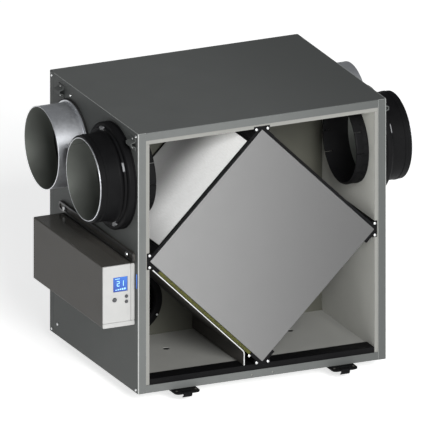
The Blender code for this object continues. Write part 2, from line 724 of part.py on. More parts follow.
def build_control_box():
    """The controller on the left side, with its fascia, display and buttons."""
    wall = -HALF - GAP
    outer = -HALF - BOX_OUT
    fascia_back = BOX_FRONT + FASCIA
    shell = ((outer, fascia_back + GAP, BOX_BOTTOM), (wall, BOX_BACK, BOX_TOP))
    housing = boxes("control_box_housing", [shell], "dark_steel")
    hollow = (
        (outer + BOX_WALL, 0, BOX_BOTTOM + BOX_WALL),
        (wall + 0.01, BOX_BACK - BOX_WALL, BOX_TOP - BOX_WALL),
    )
    boolean(housing, boxes("control_box_hollow", [hollow]))
    gland_reach = (BOX_BACK - 0.01, BOX_BACK + 0.01)
    gland_hole = discs("gland_hole", [GLAND_PLACE], "Y", GLAND_HOLE_R, *gland_reach, steps=20)
    boolean(housing, gland_hole)

    lens_low = (DISPLAY_X - DISPLAY_W / 2, DISPLAY_Z - DISPLAY_H / 2)
    lens_high = (DISPLAY_X + DISPLAY_W / 2, DISPLAY_Z + DISPLAY_H / 2)
    window = rectangle(
        (lens_low[0] - GAP, lens_low[1] - GAP),
        (lens_high[0] + GAP, lens_high[1] + GAP),
    )
    holes = [circle(x, z, radius + 0.0004, 16) for x, z, radius in BUTTONS.values()]
    loops = [rectangle((outer, BOX_BOTTOM), (wall, BOX_TOP)), window, *holes]
    plate("control_front_panel", loops, "XZ", BOX_FRONT, fascia_back, "light_fascia")
    lens = [rectangle(lens_low, lens_high)]
    plate("display_lens", lens, "XZ", BOX_FRONT + 0.0004, fascia_back - 0.0004, "blue_display")
    flange_start = FASCIA + BUTTON_RISE + GAP
    flange_end = 0.0062
    for name, (x, z, radius) in BUTTONS.items():
        button_profile = [
            (0, flange_end),
            (radius + 0.0015, flange_end),
            (radius + 0.0015, flange_start),
            (radius, flange_start),
            (radius, 0.0006),
            (radius - 0.0006, 0),
            (0, 0),
        ]
        at = (x, BOX_FRONT - BUTTON_RISE, z)
        turned(name, button_profile, "black_plastic", at, BACKWARD_TURN, 16, closed=False)
    build_controller_parts(wall, outer, fascia_back)
    gland_profile = [
        (GLAND_R - 0.001, 0.011),
        (GLAND_R, 0.009),
        (GLAND_R, GAP),
        (GLAND_HOLE_R - GAP, GAP),
        (GLAND_HOLE_R - GAP, -0.006),
        (GLAND_BORE_R, -0.006),
        (GLAND_BORE_R, 0.011),
    ]
    gland_at = (GLAND_PLACE[0], BOX_BACK, GLAND_PLACE[1])
    turned("cable_gland", gland_profile, "black_plastic", gland_at, BACKWARD_TURN, 20)
    strip = [rounded_rectangle((0.012, 0.244), (0.335, 0.261), 0.006)]
    plate("control_box_flange", strip, "YZ", wall - STRIP_THICK, wall, "dark_steel")


def build_controller_parts(wall, outer, fascia_back):
    """Inside the control box: the board with its relays, the display, transformer and terminals."""
    board_back = BOARD_Y + BOARD_THICK
    board_box = ((outer + 0.005, BOARD_Y, BOARD_Z[0]), (wall - 0.005, board_back, BOARD_Z[1]))
    board = boxes("circuit_board", [board_box], "green_board")
    relay_low = [Vector((outer + start, board_back - 0.0005, 0.158)) for start in RELAY_STARTS]
    relays = [(low, low + Vector(RELAY_SIZE)) for low in relay_low]
    boolean(board, boxes("relays", relays), "UNION")
    module = (
        (DISPLAY_X - 0.018, fascia_back + 0.0008, DISPLAY_Z - 0.016),
        (DISPLAY_X + 0.018, BOARD_Y - GAP, DISPLAY_Z + 0.016),
    )
    boxes("display_module", [module], "galvanised_steel")
    laminations = (
        (outer + 0.010, 0.150, BOX_BOTTOM + 0.002),
        (wall - 0.006, 0.172, BOX_BOTTOM + 0.046),
    )
    winding = (
        (outer + 0.016, 0.138, BOX_BOTTOM + 0.008),
        (wall - 0.012, 0.184, BOX_BOTTOM + 0.040),
    )
    transformer = boxes("transformer", [laminations], "cast_motor")
    boolean(transformer, boxes("winding", [winding]), "UNION")
    rail = ((wall - 0.008, 0.230, 0.180), (wall - 0.001, 0.290, 0.200))
    terminals = boxes("terminal_block", [rail], "light_fascia")
    first_post = (Vector((wall - 0.018, 0.232, 0.182)), Vector((wall - 0.006, 0.238, 0.198)))
    steps = [Vector((0, TERMINAL_STEP * index, 0)) for index in range(TERMINALS)]
    posts = [(first_post[0] + step, first_post[1] + step) for step in steps]
    boolean(terminals, boxes("terminal_posts", posts), "UNION")


def build_hangers():
    """Four strap brackets near the top corners: each is a strip bridged over a strap's slot."""
    low, high = BRACKET_Z
    flat = GAP + BRACKET_THICK / 2
    path = [
        (flat, low),
        (flat, low + 0.006),
        (BRACKET_OUT, low + 0.008),
        (BRACKET_OUT, high - 0.008),
        (flat, high - 0.006),
        (flat, high),
    ]
    bridge = strip_outline(path, BRACKET_THICK)
    for side, side_name in ((-1, "left"), (1, "right")):
        outline = [(side * (HALF + out), z) for out, z in bridge]
        for y, end_name in zip(BRACKET_Y, ("front", "rear")):
            name = f"hanging_bracket_{end_name}_{side_name}"
            span = (y - BRACKET_WIDTH / 2, y + BRACKET_WIDTH / 2)
            plate(name, [outline], "XZ", *span, "galvanised_steel")


def build_door_supports():
    """Two black leaves under the front edge that carry the foot of the service door."""
    middle_z = -GAP - SUPPORT_THICK / 2
    turns = [math.radians(90 + 22.5 * step) for step in range(9)]
    path = [(TONGUE_Y + 0.006, middle_z)]
    path += [
        (
            TONGUE_Y + TONGUE_CURL_R * math.cos(turn),
            middle_z - TONGUE_CURL_R + TONGUE_CURL_R * math.sin(turn),
        )
        for turn in turns
    ]
    curl = [strip_outline(path, TONGUE_THICK)]
    for side, name in ((-1, "left"), (1, "right")):
        x = side * SUPPORT_X
        low = (x - SUPPORT_WIDTH / 2, SUPPORT_Y[0])
        high = (x + SUPPORT_WIDTH / 2, SUPPORT_Y[1])
        leaf_outline = [rounded_rectangle(low, high, SUPPORT_CORNER)]
        leaf_z = (-GAP - SUPPORT_THICK, -GAP)
        leaf = plate("door_support_" + name, leaf_outline, "XY", *leaf_z, "black_plastic")
        tongue_x = (x - TONGUE_WIDTH / 2, x + TONGUE_WIDTH / 2)
        boolean(leaf, plate("support_tongue_" + name, curl, "YZ", *tongue_x), "UNION")


clear_scene()
parts = new_collection("heat_recovery_unit")
cutters = new_collection("cutters")
cabinet_frame = bpy.data.objects.new("cabinet_frame", None)
cabinet_frame.location = (0, -HANG_Y, -HANG_Z)
parts.objects.link(cabinet_frame)

build_panels()
build_liners()
build_floor_and_partition()
build_core_rails()
build_core()
build_filters()
build_collars()
build_fans()
build_control_box()
build_hangers()
build_door_supports()
bpy.context.view_layer.update()
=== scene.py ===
"""Heat recovery unit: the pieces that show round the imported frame, their finishes and light."""
import math

import bmesh
import bpy
from mathutils import Matrix, Vector


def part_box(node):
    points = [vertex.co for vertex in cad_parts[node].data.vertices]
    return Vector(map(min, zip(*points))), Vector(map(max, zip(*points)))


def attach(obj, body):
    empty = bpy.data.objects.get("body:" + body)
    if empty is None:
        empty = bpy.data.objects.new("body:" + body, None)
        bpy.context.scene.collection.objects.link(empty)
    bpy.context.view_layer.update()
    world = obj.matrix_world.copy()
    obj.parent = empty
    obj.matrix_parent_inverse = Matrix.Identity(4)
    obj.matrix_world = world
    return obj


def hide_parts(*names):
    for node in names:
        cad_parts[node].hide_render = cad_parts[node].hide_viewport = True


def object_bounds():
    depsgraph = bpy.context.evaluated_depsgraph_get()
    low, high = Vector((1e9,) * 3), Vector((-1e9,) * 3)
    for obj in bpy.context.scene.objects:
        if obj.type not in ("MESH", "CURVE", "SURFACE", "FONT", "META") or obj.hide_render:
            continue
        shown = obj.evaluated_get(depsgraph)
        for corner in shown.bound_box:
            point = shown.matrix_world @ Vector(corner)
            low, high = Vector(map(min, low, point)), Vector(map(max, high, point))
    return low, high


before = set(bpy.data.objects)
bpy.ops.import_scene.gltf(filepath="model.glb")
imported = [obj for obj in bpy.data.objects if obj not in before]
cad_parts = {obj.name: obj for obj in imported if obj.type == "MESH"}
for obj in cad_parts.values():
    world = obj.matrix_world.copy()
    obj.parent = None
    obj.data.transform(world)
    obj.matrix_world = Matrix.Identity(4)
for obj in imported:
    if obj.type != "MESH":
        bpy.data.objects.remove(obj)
cad_low, cad_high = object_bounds()

# The cabinet: X from its middle, Y back from its front flange, Z up from its base, in metres
HALF = -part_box("left_side_panel")[0].x
CABINET = Vector((0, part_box("left_side_panel")[0].y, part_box("base_panel")[0].z))
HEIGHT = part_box("top_panel")[1].z - CABINET.z
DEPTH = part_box("back_panel")[1].y - CABINET.y
SIDE_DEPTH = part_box("left_side_panel")[1].y - CABINET.y
SHEET = 0.0012
SHEET_EDGE = 0.00025
GAP = 0.0003
HAIR = 0.0001
SMOOTH_ANGLE = 32
FLANGE = 0.0155
LIP = 0.0145
SIDE_BEND = 0.0022
PRESS_DEPTH = 0.0010
PRESS_SLOPE = 0.004
LIP_BEND = 0.001
BACK_INSIDE = DEPTH - SHEET - GAP
LINER_X = 0.2182
FLOOR_TOP = 0.014
SILL_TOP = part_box("front_sill")[1].z - CABINET.z
SILL_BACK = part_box("front_sill")[1].y - CABINET.y
PAN_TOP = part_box("drain_pan")[1].z - CABINET.z
DRAINS = ((-0.12, 0.15), (0.12, 0.15))
DRAIN_HOLE_R = 0.0063

# Core, filters, mat and screen
ROOT2 = math.sqrt(2)
CORE_Z = 0.2462
CORE_REACH = 0.2174
CORE_SIDE = CORE_REACH * ROOT2
CORE_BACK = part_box("core_back_plate")[1].y - CABINET.y
END_PLATE = 0.0012
FACE_INSET = 0.0009
LAYERS = 60
FOIL = 0.0004
FACE_START = 0.028
FACE_END = CORE_SIDE - FACE_START
FACE_CLEAR = 0.0007
FILTER_THICK = 0.005
FILTER_RIM = 0.0045
MAT_THICK = 0.0059
PAD_FRONT, PAD_BACK = 0.001, 0.227
# The screen's outer face: the place of its middle and half its thickness
SCREEN_FACE = 0.0084 + 0.0007 * ROOT2

# Duct collars
PORT_Z = 0.381
FRONT_PORT_Y = 0.100
REAR_PORT_Y = 0.287
DUCT_R = 0.075
SPIGOT_R = 0.072
SPIGOT_IN = 0.0465
FINGERS = 12
FINGER_LENGTH = 0.014
FINGER_SLIT = 0.0014
COLLAR_OUT = 0.060
FLANGE_R = 0.097
FLANGE_OUT = 0.020
RING_R = 0.079
SLEEVE_OUT = 0.062
LUG_ANGLES = (80, 152, 242, 332)
LUG_R = 0.0848
ROUND = 96

# Fans
FAN_X = 0.152
FAN_Z = 0.088
FAN_FRONT = 0.2375
FAN_BACK = 0.2835
FAN_R = 0.060
BLADES = 12
PARTITION_Y = 0.229

# Control box
BOX_OUT = 0.0615
BOX_FRONT = 0.015
BOX_BACK = 0.318
BOX_BOTTOM = 0.127
BOX_TOP = 0.242
BOX_WALL = 0.0015
BOX_OUTER = -HALF - BOX_OUT
BOX_INNER = -HALF - GAP
GLAND = (-HALF - 0.030, 0.160)
FASCIA = 0.003
FASCIA_SEAM = 0.0085
FASCIA_EDGE = 0.0075
DISPLAY = (-HALF - 0.0277, 0.2061)
DISPLAY_SIZE = (0.0274, 0.0268)
BUTTONS = {
    "mode": (-HALF - 0.039, 0.178, 0.004),
    "up": (-HALF - 0.016, 0.1823, 0.003),
    "down": (-HALF - 0.016, 0.1726, 0.003),
}
BUTTON_RISE = 0.0015
LENS_FRONT = BOX_FRONT + 0.0004

OUT = {-1: Vector((-1, 0, 0)), 1: Vector((1, 0, 0))}
FORWARD = Vector((0, -1, 0))
BACKWARD = Vector((0, 1, 0))
UP = Vector((0, 0, 1))
DOWN = Vector((0, 0, -1))
SIDES = ((-1, "left"), (1, "right"))
TURN = 2 * math.pi
QUARTER = math.pi / 2
# Puts a shape made round the core's middle in each of its four corners, from the right one
CORNERS = [
    Matrix.Translation((0, 0, CORE_Z)) @ Matrix.Rotation(quarter * QUARTER, 4, "Y")
    for quarter in range(4)
]
# Noise scales come from the size of a feature in millimetres
PER_METRE = 1000


# ---- Finishes ----

def linear(code):
    """An sRGB hex colour as linear values with full alpha."""
    parts = [int(code[start:start + 2], 16) / 255 for start in (0, 2, 4)]
    return (*[v / 12.92 if v <= 0.04045 else ((v + 0.055) / 1.055) ** 2.4 for v in parts], 1)


def add(tree, kind, sockets=None, **settings):
    """Adds a node with its settings; a socket takes a value or another node's output."""
    made = tree.nodes.new("ShaderNode" + kind)
    for key, value in settings.items():
        setattr(made, key, value)
    for key, value in (sockets or {}).items():
        if isinstance(value, bpy.types.NodeSocket):
            tree.links.new(value, made.inputs[key])
        else:
            made.inputs[key].default_value = value
    return made


FINISHES = {}


def start_finish(name):
    """An empty material, kept under its name; gives its node tree and object coordinates."""
    material = bpy.data.materials.new(name)
    material.use_nodes = True
    material.node_tree.nodes.clear()
    FINISHES[name] = material
    return material.node_tree, add(material.node_tree, "TexCoord").outputs["Object"]


def end_finish(tree, sockets):
    shader = add(tree, "BsdfPrincipled", sockets)
    add(tree, "OutputMaterial", {"Surface": shader.outputs[0]})


def toned(tree, place, blend, colours, fades=()):
    """A tone between two colours that runs over to others along the object's axes, in metres."""
    ends = {0: blend, 6: linear(colours[0]), 7: linear(colours[1])}
    tone = add(tree, "Mix", ends, data_type="RGBA").outputs[2]
    for axis, start, end, colour in fades:
        axes = add(tree, "SeparateXYZ", {0: place})
        along = add(
            tree, "MapRange", {0: axes.outputs[axis], 1: start, 2: end},
            interpolation_type="SMOOTHSTEP",
        )
        ends = {0: along.outputs[0], 6: tone, 7: linear(colour)}
        tone = add(tree, "Mix", ends, data_type="RGBA").outputs[2]
    return tone


def two_tone(name, colours, roughness, lump, pit, relief, metallic=0.0, shine=0.5, fades=(),
             **more):
    """A finish whose tone wanders over lumps and whose skin has fine pits, both in millimetres."""
    tree, place = start_finish(name)
    lumps = add(tree, "TexNoise", {"Vector": place, "Scale": PER_METRE / lump, "Detail": 3.0})
    pits = add(tree, "TexNoise", {"Vector": place, "Scale": PER_METRE / pit, "Detail": 2.0})
    gloss = add(
        tree, "MapRange",
        {0: lumps.outputs[0], 1: 0.3, 2: 0.7, 3: roughness[0], 4: roughness[1]},
    )
    bump = add(tree, "Bump", {"Height": pits.outputs[0], "Strength": relief, "Distance": 0.0003})
    end_finish(tree, {
        "Base Color": toned(tree, place, lumps.outputs[0], colours, fades),
        "Roughness": gloss.outputs[0],
        "Metallic": metallic,
        "Specular IOR Level": shine,
        "Normal": bump.outputs[0],
        **more,
    })


def brushed(name, colours, roughness, stretch, line, relief, fades=()):
    """Rolled metal: its tone and gloss run in lines along one direction, over soft blotches."""
    tree, place = start_finish(name)
    drawn = add(tree, "Mapping", {"Vector": place, "Scale": stretch})
    lines = add(
        tree, "TexNoise", {"Vector": drawn.outputs[0], "Scale": PER_METRE / line, "Detail": 3.0}
    )
    blotch = add(tree, "TexNoise", {"Vector": place, "Scale": 38.0, "Detail": 4.0})
    blend = add(
        tree, "Mix", {0: 0.6, 2: lines.outputs[0], 3: blotch.outputs[0]}, data_type="FLOAT"
    )
    gloss = add(
        tree, "MapRange",
        {0: blend.outputs[0], 1: 0.35, 2: 0.65, 3: roughness[0], 4: roughness[1]},
    )
    bump = add(tree, "Bump", {"Height": lines.outputs[0], "Strength": relief, "Distance": 0.0001})
    end_finish(tree, {
        "Base Color": toned(tree, place, blend.outputs[0], colours, fades),
        "Roughness": gloss.outputs[0],
        "Metallic": 1.0,
        "Normal": bump.outputs[0],
    })


def zinc_spangle(name, colours, roughness, crystal):
    """Hot-dipped zinc: crystals some millimetres across, each with a slightly different tone."""
    tree, place = start_finish(name)
    warp = add(tree, "TexNoise", {"Vector": place, "Scale": 160.0, "Detail": 2.0})
    shifted = add(
        tree, "Mix", {0: 0.012, 4: place, 5: warp.outputs["Color"]}, data_type="VECTOR"
    )
    cells = add(tree, "TexVoronoi", {"Vector": shifted.outputs[1], "Scale": PER_METRE / crystal})
    grey = add(tree, "SeparateColor", {0: cells.outputs["Color"]})
    gloss = add(tree, "MapRange", {0: grey.outputs[1], 3: roughness[0], 4: roughness[1]})
    end_finish(tree, {
        "Base Color": toned(tree, place, grey.outputs[0], colours),
        "Roughness": gloss.outputs[0],
        "Metallic": 1.0,
    })


def open_foam(name, colours, cell):
    """Open-cell foam: a lattice of fine walls round pores that are painted dark as shade."""
    tree, place = start_finish(name)
    cells = add(tree, "TexVoronoi", {"Vector": place, "Scale": PER_METRE / cell}, feature="F1")
    depth = add(tree, "MapRange", {0: cells.outputs["Distance"], 1: 0.15, 2: 0.75}).outputs[0]
    bump = add(tree, "Bump", {"Height": depth, "Strength": 0.8, "Distance": 0.0012})
    end_finish(tree, {
        "Base Color": toned(tree, place, depth, colours), "Roughness": 0.95,
        "Normal": bump.outputs[0],
    })


def fibre_felt(name, colours, fibre, fades):
    """Spun filter media: pale fibres that lie every way, with fades along its axes that paint
    shade and light over them.
    """
    tree, place = start_finish(name)
    layers = []
    for turn in (0.4, 2.1):
        drawn = add(
            tree, "Mapping",
            {"Vector": place, "Rotation": (0.3, 0.78, turn), "Scale": (1.0, 0.16, 1.0)},
        )
        noise = add(
            tree, "TexNoise",
            {"Vector": drawn.outputs[0], "Scale": PER_METRE / fibre, "Detail": 3.0},
        )
        layers.append(noise.outputs[0])
    blend = add(tree, "Mix", {0: 0.5, 2: layers[0], 3: layers[1]}, data_type="FLOAT")
    fine = add(tree, "MapRange", {0: blend.outputs[0], 1: 0.3, 2: 0.65}).outputs[0]
    bump = add(tree, "Bump", {"Height": fine, "Strength": 0.35, "Distance": 0.0003})
    end_finish(tree, {
        "Base Color": toned(tree, place, fine, colours, fades), "Roughness": 0.45,
        "Normal": bump.outputs[0], "Sheen Weight": 0.8,
    })


def backlit_window(name, colours, glow):
    """A liquid crystal window: its light falls off from its upper right to its lower left."""
    tree, place = start_finish(name)
    axes = add(tree, "SeparateXYZ", {0: place})
    starts = (DISPLAY[0] - DISPLAY_SIZE[0] / 2, CABINET.z + DISPLAY[1] - DISPLAY_SIZE[1] / 2)
    across, rise = [
        add(tree, "MapRange", {0: axes.outputs[axis], 1: start, 2: start + size}).outputs[0]
        for axis, start, size in zip("XZ", starts, DISPLAY_SIZE)
    ]
    blend = add(tree, "Mix", {0: 0.4, 2: rise, 3: across}, data_type="FLOAT")
    tone = toned(tree, place, blend.outputs[0], colours)
    end_finish(tree, {
        "Base Color": tone, "Emission Color": tone, "Emission Strength": glow,
        "Roughness": 0.14, "Coat Weight": 0.5,
    })


# Powder-coated sheet steel: grey and semi-gloss, with a faint orange peel in its shine; painted
# shade darkens it towards the right, and further on the outer skin of the left side
two_tone("powder_coat", ("5e605f", "656766"), (0.46, 0.50), 45, 1.1, 0.10, shine=0.06,
         fades=[(0, -0.10, 0.28, "535554"), (0, -0.2395, -0.2408, "525453")])
# The same coat on the tight front bends and the sides' top rims: glossier, and painted lighter as
# a highlight
two_tone("bend_highlight_coat", ("9a9c9a", "a8aaa8"), (0.22, 0.30), 20, 1.1, 0.05)
# Moulded polystyrene foam lining: a pale skin of pressed beads that hardly shines
two_tone("bead_foam", ("b2b2ac", "bebeb8"), (0.62, 0.74), 30, 3.2, 0.25,
         fades=[(1, CABINET.y + 0.0045, CABINET.y + 0.0015, "7c7c78")])
# Grey moulded drain tray: a satin skin, darker than the foam round it
two_tone("tray_moulding", ("8e8e8a", "989894"), (0.50, 0.60), 30, 1.2, 0.12)
# Olive primed sheet behind the core: flat and dark
two_tone("primed_sheet", ("45453d", "4f4f46"), (0.50, 0.62), 40, 1.4, 0.12)
# Moulded black polypropylene: satin, with the fine spark-eroded grain of its mould
two_tone("black_moulding", ("0d0d0e", "121213"), (0.48, 0.58), 18, 0.7, 0.22, shine=0.06)
# Moulded nylon clips: mid grey, a little smoother than the collars they sit on
two_tone("grey_clip", ("606163", "6a6b6d"), (0.40, 0.50), 8, 0.6, 0.10)
# Satin aluminium sheet: soft blotchy sheen with faint rolling lines, painted darker towards the
# right as shade
brushed("satin_aluminium", ("8b8b8b", "959595"), (0.42, 0.50), (1, 1, 0.05), 3.0, 0.05,
        [(0, -0.25, 0.25, "666666")])
# Aluminium foil plates: brighter and slightly crumpled
brushed("foil_plates", ("b8babb", "d2d4d5"), (0.28, 0.42), (0.2, 1, 0.2), 2.0, 0.25)
# Galvanised sheet: cool grey with a mild spangle
zinc_spangle("galvanised", ("ced0d4", "d6d8dc"), (0.42, 0.50), 4.0)
# The inside of the ducts: the same sheet, painted darker and duller as the shade within them
two_tone("duct_shade_zinc", ("686b67", "70736e"), (0.50, 0.60), 30, 1.2, 0.08, metallic=0.6)
# Bright zinc plate on screws and rivets
brushed("zinc_plate", ("d0d1d2", "e6e7e7"), (0.30, 0.42), (1, 1, 1), 1.5, 0.05)
# Warm grey coated sheet of the controller: smooth, low gloss
two_tone("warm_coat", ("403e3b", "484643"), (0.38, 0.44), 35, 1.0, 0.08, shine=0.10)
# The same coat on the controller's top, wiped smooth by hands: it mirrors what is behind it
two_tone("wiped_coat", ("464440", "4c4a46"), (0.14, 0.18), 35, 1.0, 0.03)
# Black coat on the strip above the controller: its raised rim catches a soft line of light
two_tone("black_coat", ("202020", "272726"), (0.34, 0.44), 20, 1.0, 0.10)
# Light grey moulded ABS: even, with a fine matt grain
two_tone("grey_abs", ("a2a2a1", "aaaaa8"), (0.42, 0.52), 16, 0.6, 0.10)
# Dark keys with a rubbery skin
two_tone("key_rubber", ("3a3b3d", "444547"), (0.50, 0.60), 6, 0.5, 0.10)
# White spun polyester filter pad, with painted shade: darker towards the left and the back, then a
# lighter painted band near its back edge
fibre_felt("filter_felt", ("f0f0ef", "ffffff"), 1.6,
           [(0, -0.15, -0.21, "a0a0a0"), (1, CABINET.y + 0.060, CABINET.y + 0.165, "343434"),
            (1, CABINET.y + 0.170, CABINET.y + 0.225, "949494")])
# Olive polyurethane drip mat: open pores painted dark as shade between lighter painted walls
open_foam("olive_foam", ("22230a", "4e4f1b"), 2.2)
# Black closed-cell seal: dull, with a coarse skin
two_tone("seal_foam", ("141414", "1b1b1b"), (0.80, 0.92), 5, 0.9, 0.5)
# Cast and turned aluminium of the motors: a sandy metal skin
two_tone("cast_aluminium", ("8a8b8d", "9b9c9e"), (0.40, 0.52), 12, 0.8, 0.3, metallic=1.0)
# Glass-fibre board under a green solder mask: glossy over a faint weave
two_tone("solder_mask", ("0f4a24", "155c2e"), (0.25, 0.35), 4, 1.5, 0.15)
# Liquid crystal window with a blue back light
backlit_window("blue_window", ("0d2f80", "1f5cb0"), 0.22)
# The pale characters of the display, which the back light shines through
two_tone("display_mark", ("8fc4f0", "a4d2f6"), (0.3, 0.4), 6, 1.0, 0.0,
         **{"Emission Color": linear("8fc4f0"), "Emission Strength": 0.6})


# ---- Shapes ----

def on_plane(plane, first, second, height=0.0):
    return {
        "XY": Vector((first, second, height)),
        "XZ": Vector((first, height, second)),
        "YZ": Vector((height, first, second)),
    }[plane]


def aimed(direction, at):
    """The matrix that stands a shape made along Z on a point, facing a direction."""
    turn = Vector(direction).to_track_quat("Z", "Y").to_matrix().to_4x4()
    return Matrix.Translation(Vector(at)) @ turn


def only(items, kind):
    return [item for item in items if isinstance(item, kind)]


def chain(part, places, closed=True):
    """A run of edges through some places, back to its start if it is closed."""
    corners = [part.verts.new(place) for place in places]
    ends = corners[1:] + corners[:1] if closed else corners[1:]
    return [part.edges.new(pair) for pair in zip(corners, ends)]


def ring(part, plane, points, height=0.0):
    """A closed outline of edges on a plane."""
    return chain(part, [on_plane(plane, *point, height) for point in points])


def fill(part, edges):
    """Fills an outline and its holes with flat faces."""
    bmesh.ops.triangle_fill(part, use_beauty=True, edges=edges)


def draw_out(part, edges, way):
    """Draws edges out into a sheet and gives the new edges."""
    drawn = bmesh.ops.extrude_edge_only(part, edges=edges)["geom"]
    bmesh.ops.translate(part, vec=way, verts=only(drawn, bmesh.types.BMVert))
    return only(drawn, bmesh.types.BMEdge)


def bend(part, edge, centre, axis, angle, steps=6):
    """Swings an edge into a rounded bend and gives the edges that it ends in."""
    swung = bmesh.ops.spin(
        part, geom=[edge, *edge.verts], cent=centre, axis=axis, angle=angle, steps=steps,
        use_duplicate=False,
    )
    return only(swung["geom_last"], bmesh.types.BMEdge)


def tidy(part):
    bmesh.ops.remove_doubles(part, verts=part.verts, dist=1e-6)
    bmesh.ops.recalc_face_normals(part, faces=part.faces)
    return part


def ease(part, width, steps=2, angle=50):
    """Rounds the edges that are sharper than an angle."""
    part.normal_update()
    limit = math.radians(angle)
    sharp = [edge for edge in part.edges if edge.calc_face_angle(0) > limit]
    if width and sharp:
        bmesh.ops.bevel(
            part, geom=sharp, offset=width, offset_type="OFFSET", segments=steps, profile=0.5,
            affect="EDGES", material=-1, clamp_overlap=True,
        )
    return part


def plate(loops, plane, low, high, width=0.0, steps=2):
    """A flat outline with holes, drawn out from low to high, with eased edges."""
    part = bmesh.new()
    edges = []
    for points in loops:
        edges += ring(part, plane, points, low)
    fill(part, edges)
    raised = bmesh.ops.extrude_face_region(part, geom=part.faces[:])["geom"]
    way = on_plane(plane, 0, 0, high - low)
    bmesh.ops.translate(part, vec=way, verts=only(raised, bmesh.types.BMVert))
    return ease(tidy(part), width, steps)


def block(low, high, width=0.0, steps=2):
    """A box between two corners, with eased edges."""
    part = bmesh.new()
    size = Vector(high) - Vector(low)
    middle = Matrix.Translation((Vector(high) + Vector(low)) / 2)
    bmesh.ops.create_cube(part, size=1, matrix=middle @ Matrix.Diagonal((*size, 1)))
    return ease(part, width, steps)


def turned(profile, steps=ROUND, closed=True):
    """A profile of (radius, height) points, turned about Z."""
    part = bmesh.new()
    edges = chain(part, [(radius, 0, height) for radius, height in profile], closed)
    bmesh.ops.spin(
        part, geom=part.verts[:] + edges, cent=(0, 0, 0), axis=UP, angle=TURN,
        steps=steps, use_merge=True, use_duplicate=False,
    )
    return tidy(part)


def sector(profile, start, sweep, steps):
    """A closed profile turned through part of a circle about Z, as a solid."""
    part = bmesh.new()
    bmesh.ops.contextual_create(part, geom=ring(part, "XZ", profile))
    bmesh.ops.spin(
        part, geom=part.faces[:] + part.edges[:] + part.verts[:], cent=(0, 0, 0), axis=(0, 0, 1),
        angle=sweep, steps=steps, use_duplicate=False,
    )
    bmesh.ops.rotate(part, cent=(0, 0, 0), matrix=Matrix.Rotation(start, 3, "Z"), verts=part.verts)
    return tidy(part)


def thicken(part, thickness, outside):
    """Gives an open sheet its thickness, away from the side that faces outside."""
    tidy(part)
    largest = max(part.faces, key=lambda face: face.calc_area())
    if largest.normal.dot(Vector(outside)) < 0:
        bmesh.ops.reverse_faces(part, faces=part.faces)
    bmesh.ops.solidify(part, geom=part.faces[:], thickness=thickness)
    return part


def folded(path, plane, low, high, thickness, outside, width=0.0):
    """A bent sheet: a path drawn out from low to high, then given its thickness."""
    part = bmesh.new()
    edges = chain(part, [on_plane(plane, *point, low) for point in path], closed=False)
    draw_out(part, edges, on_plane(plane, 0, 0, high - low))
    return ease(thicken(part, thickness, outside), width, 1)


def join(piece, part, matrix=None, finish=0):
    """Adds one shape to a piece, turned and moved into place, with its finish's number."""
    if matrix:
        bmesh.ops.transform(part, matrix=matrix, verts=part.verts)
    for face in part.faces:
        face.material_index = finish
    spare = bpy.data.meshes.new("spare")
    part.to_mesh(spare)
    part.free()
    piece.from_mesh(spare)
    bpy.data.meshes.remove(spare)
    return piece


def recoat(piece, chosen):
    """Gives the piece's second finish to the faces that a test picks."""
    for face in piece.faces:
        if chosen(face):
            face.material_index = 1


def put(name, piece, finishes, body="cabinet", stands_for=()):
    """Makes a finished piece of a shape in the cabinet's place, on its body."""
    bmesh.ops.translate(piece, vec=CABINET, verts=piece.verts)
    mesh = bpy.data.meshes.new(name)
    piece.to_mesh(mesh)
    piece.free()
    for finish in finishes:
        mesh.materials.append(FINISHES[finish])
    mesh.shade_smooth()
    mesh.set_sharp_from_angle(angle=math.radians(SMOOTH_ANGLE))
    obj = bpy.data.objects.new(name, mesh)
    bpy.context.scene.collection.objects.link(obj)
    obj.modifiers.new("flat_faces_stay_flat", "WEIGHTED_NORMAL").keep_sharp = True
    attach(obj, body)
    if stands_for:
        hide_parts(*stands_for)
    return obj


def circle(first, second, radius, steps=ROUND):
    turns = [TURN * step / steps for step in range(steps)]
    return [(first + radius * math.cos(a), second + radius * math.sin(a)) for a in turns]


def rectangle(low, high):
    return [low, (high[0], low[1]), high, (low[0], high[1])]


def softened(points, radius, steps=4, closed=True):
    """An outline or a path whose corners are rounded to about a radius."""
    made = []
    last = len(points) - 1
    for index, point in enumerate(points):
        corner = Vector(point)
        if not closed and index in (0, last):
            made.append(tuple(corner))
            continue
        before = Vector(points[index - 1]) - corner
        after = Vector(points[(index + 1) % len(points)]) - corner
        reach = min(radius, before.length * 0.48, after.length * 0.48)
        start = corner + before.normalized() * reach
        end = corner + after.normalized() * reach
        for step in range(steps + 1):
            t = step / steps
            made.append(tuple(start * (1 - t) ** 2 + corner * 2 * t * (1 - t) + end * t * t))
    return made


def cross(reach, arm):
    """The outline of a cross recess."""
    return [
        (reach, -arm), (reach, arm), (arm, arm), (arm, reach), (-arm, reach), (-arm, arm),
        (-reach, arm), (-reach, -arm), (-arm, -arm), (-arm, -reach), (arm, -reach), (arm, -arm),
    ]


def screw(piece, at, direction, radius, finish=0):
    """A pan head with a cross recess."""
    rise = radius * 0.55
    rim = radius * 0.68
    profile = [
        (0, 0), (radius, 0), (radius, rise * 0.35), (radius * 0.93, rise * 0.72), (rim, rise),
        (rim, rise * 0.5), (0, rise * 0.5),
    ]
    matrix = aimed(direction, at)
    join(piece, turned(profile, 16, closed=False), matrix, finish)
    loops = [circle(0, 0, rim, 16), cross(rim * 0.72, rim * 0.16)]
    join(piece, plate(loops, "XY", rise * 0.5, rise), matrix, finish)


def rivet(piece, at, direction, radius, finish=0):
    """A domed blind rivet with the dimple that its mandrel leaves."""
    profile = [
        (0, 0), (radius, 0), (radius, 0.0003), (radius * 0.86, radius * 0.36),
        (radius * 0.55, radius * 0.52), (radius * 0.38, radius * 0.54),
        (radius * 0.34, radius * 0.34), (0, radius * 0.34),
    ]
    join(piece, turned(profile, 16, closed=False), aimed(direction, at), finish)


# ---- Casing ----

